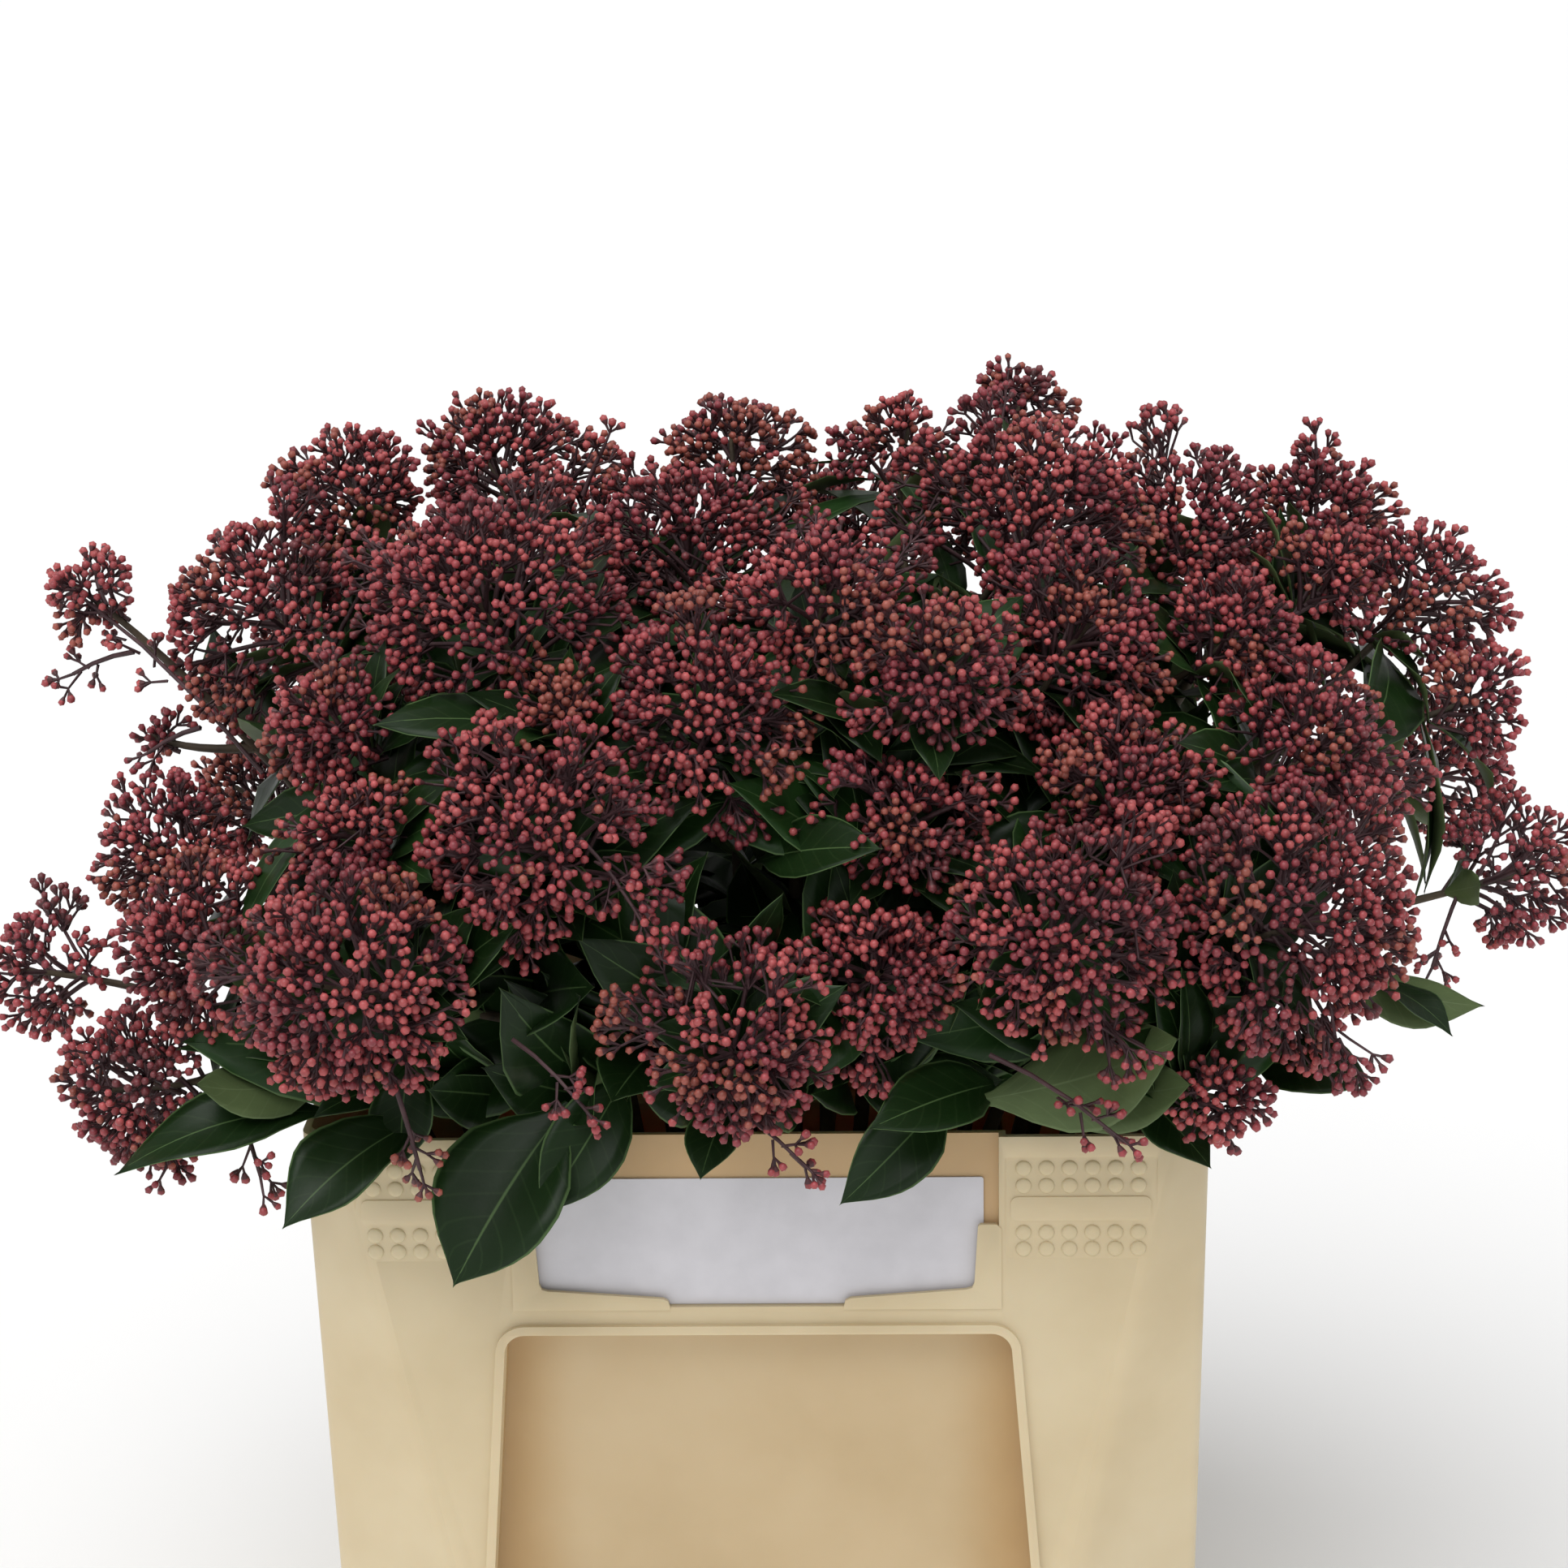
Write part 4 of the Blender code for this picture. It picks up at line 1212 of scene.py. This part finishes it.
# Leaves that show between the heads and over the rim, in millimetres: root, tip, where the top looks, width.
SHOWN_LEAVES = (
    ((-77, -154, 370), (-126, -196, 306), (-0.25, -0.8, 0.55), 62),
    ((-141, -152, 362), (-195, -196, 333), (-0.2, -0.65, 0.75), 42),
    ((-180, -132, 358), (-271, -165, 347), (-0.1, -0.5, 0.85), 36),
    ((-182, -126, 374), (-236, -160, 379), (0.2, 0.6, -0.75), 33),
    ((-52, -146, 382), (-88, -186, 332), (0.35, -0.75, 0.5), 36),
    ((104, -150, 376), (52, -208, 381), (0.1, -0.75, 0.65), 34),
    ((84, -152, 374), (38, -190, 338), (0.35, -0.8, 0.45), 34),
    ((94, -165, 374), (178, -206, 416), (0.1, 0.75, -0.6), 47),
    ((110, -158, 374), (184, -196, 392), (0.0, 0.8, -0.5), 34),
    ((244, -112, 417), (311, -128, 401), (0.25, 0.45, -0.8), 29),
    ((262, -104, 404), (296, -140, 392), (0.3, -0.4, 0.85), 20),
    ((212, -130, 376), (260, -158, 379), (0.4, -0.7, 0.6), 33),
    ((160, -142, 372), (192, -178, 350), (0.3, -0.85, 0.4), 27),
    ((-30, -120, 400), (-20, -168, 484), (-0.85, -0.5, 0.1), 34),
    ((-74, -118, 432), (-38, -160, 480), (-0.2, -0.9, 0.3), 44),
    ((4, -134, 470), (56, -180, 490), (0.1, -0.8, 0.6), 30),
    ((-22, -146, 414), (16, -172, 468), (0.55, -0.75, -0.1), 24),
    ((-96, -120, 404), (-64, -176, 430), (-0.3, -0.8, 0.5), 44),
    ((-40, -130, 384), (-56, -182, 384), (-0.1, -0.85, 0.5), 36),
    ((150, -110, 400), (104, -150, 440), (0, -0.9, 0.35), 36),
    ((200, -120, 404), (176, -160, 470), (-0.2, -0.9, 0.2), 34),
    ((-8, -150, 372), (-20, -196, 352), (-0.1, -0.7, 0.7), 26),
    ((-146, -118, 366), (-186, -156, 366), (-0.3, -0.7, 0.6), 24),
    ((-146, -140, 384), (-148, -170, 348), (-0.2, -0.9, 0.3), 30),
    ((-106, -120, 360), (-136, -158, 378), (0.2, -0.9, 0.4), 34),
    ((-70, -118, 360), (-112, -156, 386), (-0.2, -0.9, 0.3), 36),
    ((-20, -118, 360), (-48, -160, 384), (0, -0.9, 0.4), 36),
    ((26, -116, 360), (2, -158, 380), (-0.2, -0.9, 0.3), 36),
    ((70, -118, 360), (44, -156, 384), (0.2, -0.9, 0.4), 34),
    ((60, -120, 358), (104, -156, 380), (0, -0.9, 0.4), 34),
    ((150, -118, 360), (122, -152, 378), (0.2, -0.9, 0.4), 32),
    ((-160, 118, 372), (-206, 172, 350), (-0.3, 0.4, 0.85), 34),
    ((-178, 86, 374), (-236, 128, 358), (-0.4, 0.3, 0.85), 32),
    ((-136, 122, 370), (-160, 186, 352), (-0.1, 0.5, 0.85), 32),
    ((-186, 112, 366), (-196, 140, 412), (-0.6, 0.7, 0.3), 30),
    ((-168, 126, 364), (-158, 156, 408), (-0.3, 0.9, 0.3), 30),
)


def leaf_pieces(found, widths, draw, heap, slots, steps, columns):
    """Leaves with a folded, bowed blade and a wavy margin: the top and the underside are two slots."""
    roots, tips, facing, lengths = (np.array(column, float) for column in zip(*found))
    count = len(roots)
    along = unit(tips - roots)
    normal = unit(facing - along * np.sum(facing * along, axis=1, keepdims=True))
    across = np.cross(along, normal)
    t = np.linspace(0, 1, steps)[None, :, None]
    u = np.linspace(-1, 1, columns)[None, None, :]
    outline = np.interp(t, *LEAF_OUTLINE)
    bow, sag, fold, twist, wave, phase = (draw.uniform(*span, count)[:, None, None] for span in LEAF_FORM)
    length = lengths[:, None, None]
    half = (widths / 2)[:, None, None] * outline
    side = half * u * (1 - 0.12 * fold)
    lift = half * np.abs(u) ** 1.3 * fold
    lift = lift + length * (bow * 4 * t * (1 - t) - sag * t**2)
    lift = lift + length * wave * np.abs(u) * np.sin(9 * t + phase + 1.5 * np.sign(u)) * outline
    lift = lift + side * twist * (t - 0.3)
    ahead = length * t * (1 - 0.02 * np.abs(u))
    middle = (
        roots[:, None, None]
        + along[:, None, None] * ahead[..., None]
        + across[:, None, None] * side[..., None]
        + normal[:, None, None] * lift[..., None]
    )
    rib = np.exp(-((u / RIB_SHARE) ** 2))
    thick = (0.16 + 0.14 * (1 - u**2) + 0.35 * rib * (1 - 0.8 * t)) * MM
    top = middle + normal[:, None, None] * thick[..., None] * 0.4
    low = middle - normal[:, None, None] * thick[..., None]
    each = steps * columns
    index = np.arange(each).reshape(steps, columns)
    quads = np.stack([index[:-1, :-1], index[:-1, 1:], index[1:, 1:], index[1:, :-1]], axis=-1).reshape(-1, 4)
    left = np.stack([index[:-1, 0], index[1:, 0], index[1:, 0] + each, index[:-1, 0] + each], axis=-1)
    right = np.stack([index[1:, -1], index[:-1, -1], index[:-1, -1] + each, index[1:, -1] + each], axis=-1)
    uv = np.stack([np.broadcast_to(grid, (1, steps, columns)) for grid in (u, t)], axis=-1)
    uv = np.broadcast_to(uv, (2, steps, columns, 2)).reshape(-1, 2)
    step = np.arange(count)[:, None, None] * 2 * each
    upper = (np.concatenate([quads, left, right])[None] + step).reshape(-1, 4)
    under = (quads[:, [0, 3, 2, 1]][None] + each + step).reshape(-1, 4)
    looks = np.repeat(slots, (len(upper), len(under)))
    heap.add(np.stack([top, low], axis=1), np.concatenate([upper, under]), looks, np.tile(uv, (count, 1)))


class Foliage:
    """Leaves that keep out of the panicles and the container, as (root, tip, facing, length)."""

    def __init__(self, panicles):
        self.panicles = panicles
        self.found = []

    def add(self, root, tip, facing, length, outer, own=None, share=0):
        """Adds a leaf if it fits and its tip is no further than outer from a head. Says whether it does."""
        along = tip - root
        wide = np.cross(along, facing) * 0.17
        line = root + along * np.linspace(0.25, 1, 6)[:, None]
        spots = np.concatenate([line, line[1:4] + wide, line[1:4] - wide])
        apart = np.linalg.norm(spots[:, None] - self.panicles[None, :, :3], axis=-1)
        radii = self.panicles[:, 3]
        least = radii * 0.7
        if own is not None:
            least[own] = radii[own] * share
        blocked = np.any(apart < least) or np.any(in_tub(spots, 4 * MM, 6 * MM))
        fits = not (blocked or np.min(apart[5] - radii) > outer)
        if fits:
            self.found.append((root, tip, facing, length))
        return fits


def whorls(foliage, limbs, draw):
    """The leaves below each panicle: long ones, a collar right under it, and ones that fill in behind it."""
    for own, limb in enumerate(limbs):
        centre, radius = foliage.panicles[own, :3], foliage.panicles[own, 3]
        lean = lean_of(centre)
        axes = frames(lean)
        angle = draw.uniform(0, 2 * np.pi)
        outer = 24 * MM if centre[2] < 0.45 and centre[1] > 0.05 else -8 * MM
        if centre[0] < -0.24:
            outer = -20 * MM
        back = BACK_LEAVES if centre[1] < FRONT else 0
        lace = openness(centre)
        for most, tilts, lengths, share, is_collar in (
            (WHORL_LEAVES, (48, 125), LEAF_LENGTH, 0.66, False),
            (COLLAR_LEAVES, (55, 100), (40 * MM, 62 * MM), 0.42, True),
            (back, (15, 80), (58 * MM, 92 * MM), 0.5, False),
        ):
            made = 0
            wanted = round(most * (1 - lace))
            for _ in range(wanted * LEAF_TRIES):
                if made >= wanted:
                    break
                angle += GOLDEN_ANGLE
                tilt = math.radians(draw.uniform(*tilts))
                root = centre - lean * radius * 0.55 if is_collar else limb[int(draw.integers(1, 5))]
                along = outward(axes, angle) * math.sin(tilt) + lean * math.cos(tilt)
                length = draw.uniform(*lengths)
                facing = unit(lean - along * (lean @ along))
                made += foliage.add(root, root + along * length, facing, length, outer, own, share)


def mouth_leaves(foliage, paths, draw):
    """Leaves on the upper stems: low ones over the container's mouth and upright ones inside the bunch."""
    for path in paths:
        roots = path[(path[:, 2] > HEIGHT + 8 * MM) & (path[:, 2] < MOUTH_TOP)]
        if not len(roots):
            continue
        angle = draw.uniform(0, 2 * np.pi)
        made = 0
        for _ in range(MOUTH_LEAVES * LEAF_TRIES):
            if made >= MOUTH_LEAVES:
                break
            angle += GOLDEN_ANGLE
            low = made % 2 == 0
            root = roots[int(draw.integers(0, max(1, len(roots) // 3) if low else len(roots)))]
            climb = draw.uniform(*((-0.1, 0.25) if low else (0.3, 1.6)))
            along = unit(np.array((math.cos(angle), math.sin(angle), climb)))
            length = draw.uniform(*LEAF_LENGTH)
            tip = root + along * length
            facing = unit(np.array((0, 0, 1.0)) - along * along[2])
            if (tip[0] / MOUTH_REACH[0]) ** 2 + (tip[1] / MOUTH_REACH[1]) ** 2 < 1:
                made += foliage.add(root, tip, facing, length, FREE)


def core_leaves(foliage, draw):
    """Leaves deep inside the bunch, between the heads."""
    made = 0
    for _ in range(CORE_TRIES):
        root = np.array([draw.uniform(*span) for span in CORE_BOX])
        along = unit(np.array((*draw.normal(0, 1, 2), draw.uniform(-0.4, 1.4))))
        length = draw.uniform(*LEAF_LENGTH)
        facing = unit(draw.normal(0, 1, 3) + np.array((0, -0.8, 0.6)))
        if abs(facing @ along) < 0.7:
            made += foliage.add(root, root + along * length, facing, length, -12 * MM)
        if made >= CORE_LEAVES:
            break


def rim_point(angle):
    """The point of the rim's rectangle that lies in a direction, at no height."""
    x, y = math.cos(angle), math.sin(angle)
    return np.array((x, y, 0.0)) / max(abs(x) / HALF_LENGTH, abs(y) / HALF_DEPTH)


def rim_leaves(foliage, draw):
    """Leaves out of the mouth: upright ones inside the rim, and ones that hang over it, save at the front."""
    up = np.array((0, 0, 1.0))
    for k in range(SCREEN_LEAVES):
        flat = rim_point(2 * np.pi * (k + draw.uniform(-0.3, 0.3)) / SCREEN_LEAVES)
        side = unit(np.array((-flat[1], flat[0], 0.0)))
        root = flat * draw.uniform(0.62, 0.8) + up * (HEIGHT + draw.uniform(8, 20) * MM)
        tip = flat * draw.uniform(0.98, 1.12) + side * draw.uniform(-40, 40) * MM
        tip[2] = HEIGHT + draw.uniform(20, 72) * MM
        facing = unit(unit(flat) + side * draw.uniform(-0.5, 0.5) + up * 0.5)
        foliage.add(root, tip, facing, float(np.linalg.norm(tip - root)) * 1.2, FREE)
    for k in range(RIM_LEAVES):
        flat = rim_point(2 * np.pi * (k + draw.uniform(-0.3, 0.3)) / RIM_LEAVES)
        if flat[1] < -0.5 * HALF_DEPTH:
            continue
        x, y, _ = unit(flat)
        root = flat * draw.uniform(0.74, 0.86) + up * (HEIGHT + draw.uniform(14, 36) * MM)
        out = flat + unit(flat) * draw.uniform(18, 58) * MM
        tip = out + up * (HEIGHT + draw.uniform(-34, 16) * MM)
        tip = tip + np.array((-y, x, 0)) * draw.uniform(-26, 26) * MM
        facing = unit(np.array((x * 0.4, y * 0.4, 1.0)))
        foliage.add(root, tip, facing, float(np.linalg.norm(tip - root)), FREE)


def add_leaves(panicles, limbs, paths):
    draw = np.random.default_rng([SEED, 5])
    paints = [leaf_material(*row) for row in LEAF_PAINTS]
    in_sight = Foliage(panicles)
    whorls(in_sight, limbs, draw)
    rim_leaves(in_sight, draw)
    hidden = Foliage(panicles)
    mouth_leaves(hidden, paths, draw)
    core_leaves(hidden, draw)
    heap = Heap()
    for found, steps, columns in ((in_sight.found, 8, 5), (hidden.found, 6, 3)):
        lengths = np.array([leaf[3] for leaf in found])
        widths = lengths * LEAF_WIDTH_SHARE * draw.uniform(*LEAF_WIDTHS, len(found))
        deep = draw.uniform(size=len(found)) < DEEP_SHARE
        for mask, slots in ((deep, (0, 1)), (~deep, (2, 1))):
            mine = [leaf for leaf, kept in zip(found, mask) if kept]
            leaf_pieces(mine, widths[mask], draw, heap, slots, steps, columns)
    shown = []
    for root, tip, facing, _ in SHOWN_LEAVES:
        root, tip = np.array(root) * MM, np.array(tip) * MM
        shown.append((root, tip, facing, np.linalg.norm(tip - root)))
    widths = np.array([row[3] for row in SHOWN_LEAVES]) * MM
    leaf_pieces(shown, widths, draw, heap, (0, 1), 15, 7)
    return [emit(heap, "leaves", paints)]


def add_stems(paths, limbs):
    """The stems and limbs, with the bark's relief: low knots where leaves have been, and long ripples."""
    draw = np.random.default_rng([SEED, 11])
    whole = np.arange(STEM_POINTS)
    spread = np.linspace(0, STEM_POINTS - 1, BARK_POINTS)
    fine = np.array([[np.interp(spread, whole, column) for column in path.T] for path in paths])
    radii = np.tile(np.linspace(STEM_RADIUS_FOOT, STEM_RADIUS_TIP, BARK_POINTS), (len(paths), 1))
    for row in radii:
        knots = np.arange(BARK_POINTS) % KNOT_PITCH == int(draw.integers(0, KNOT_PITCH))
        row *= 1 + KNOT_SWELL * knots + draw.uniform(-0.04, 0.04, BARK_POINTS)
    heap = Heap()
    verts, faces = tubes(fine.transpose(0, 2, 1), radii, 8)
    verts[:, 2] = np.maximum(verts[:, 2], FLOOR + GAP)
    heap.add(verts, faces)
    heap.add(*tubes(limbs, np.linspace(*LIMB_RADII, LIMB_POINTS) * MM, 6))
    return [emit(heap, "stems_and_limbs", [plain_material("bark")])]


def add_stage():
    bm = bmesh.new()
    bmesh.ops.create_grid(bm, x_segments=1, y_segments=1, size=30)
    floor = add_object("floor", bm)
    floor.data.materials.append(floor_material())


def add_lights():
    world = bpy.data.worlds.new("studio")
    bpy.context.scene.world = world
    world.use_nodes = True
    sky = world.node_tree.nodes["Background"]
    sky.inputs["Color"].default_value = (1, 1, 1, 1)
    sky.inputs["Strength"].default_value = SKY_STRENGTH
    light = bpy.data.lights.new("key", "SUN")
    light.energy = SUN_STRENGTH
    light.angle = SUN_ANGLE
    link("key", light).rotation_euler = SUN_DIRECTION.to_track_quat("-Z", "Y").to_euler()


def add_camera():
    flat = math.cos(CAMERA_ELEVATION)
    back = Vector(
        (math.sin(CAMERA_AZIMUTH) * flat, -math.cos(CAMERA_AZIMUTH) * flat, math.sin(CAMERA_ELEVATION))
    )
    camera = bpy.data.cameras.new("camera")
    camera.lens = LENS
    camera.sensor_width = SENSOR
    camera.clip_end = 100
    obj = link("camera", camera)
    right = (-back).cross(Vector((0, 0, 1))).normalized()
    up = right.cross(-back)
    side = right * math.cos(CAMERA_ROLL) + up * math.sin(CAMERA_ROLL)
    top = up * math.cos(CAMERA_ROLL) - right * math.sin(CAMERA_ROLL)
    turn = Matrix((side, top, back)).transposed().to_4x4()
    obj.matrix_world = Matrix.Translation(CAMERA_TARGET + back * CAMERA_DISTANCE) @ turn
    bpy.context.scene.camera = obj


def main():
    bpy.context.scene.view_settings.view_transform = "Standard"
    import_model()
    add_camera()
    add_lights()
    add_stage()
    add_container()
    add_card()
    growth, panicles, paths, limbs = grow_all()
    stems = add_stems(paths, limbs)
    leaves = add_leaves(panicles, limbs, paths)
    growth.clear_of(leaves[0])
    add_stalks(growth)
    buds = add_buds(growth.buds, panicles)
    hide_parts(*[f"head_{name}" for name in MASSES])
    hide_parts(*[f"stem_{name}" for name in MASSES])


main()
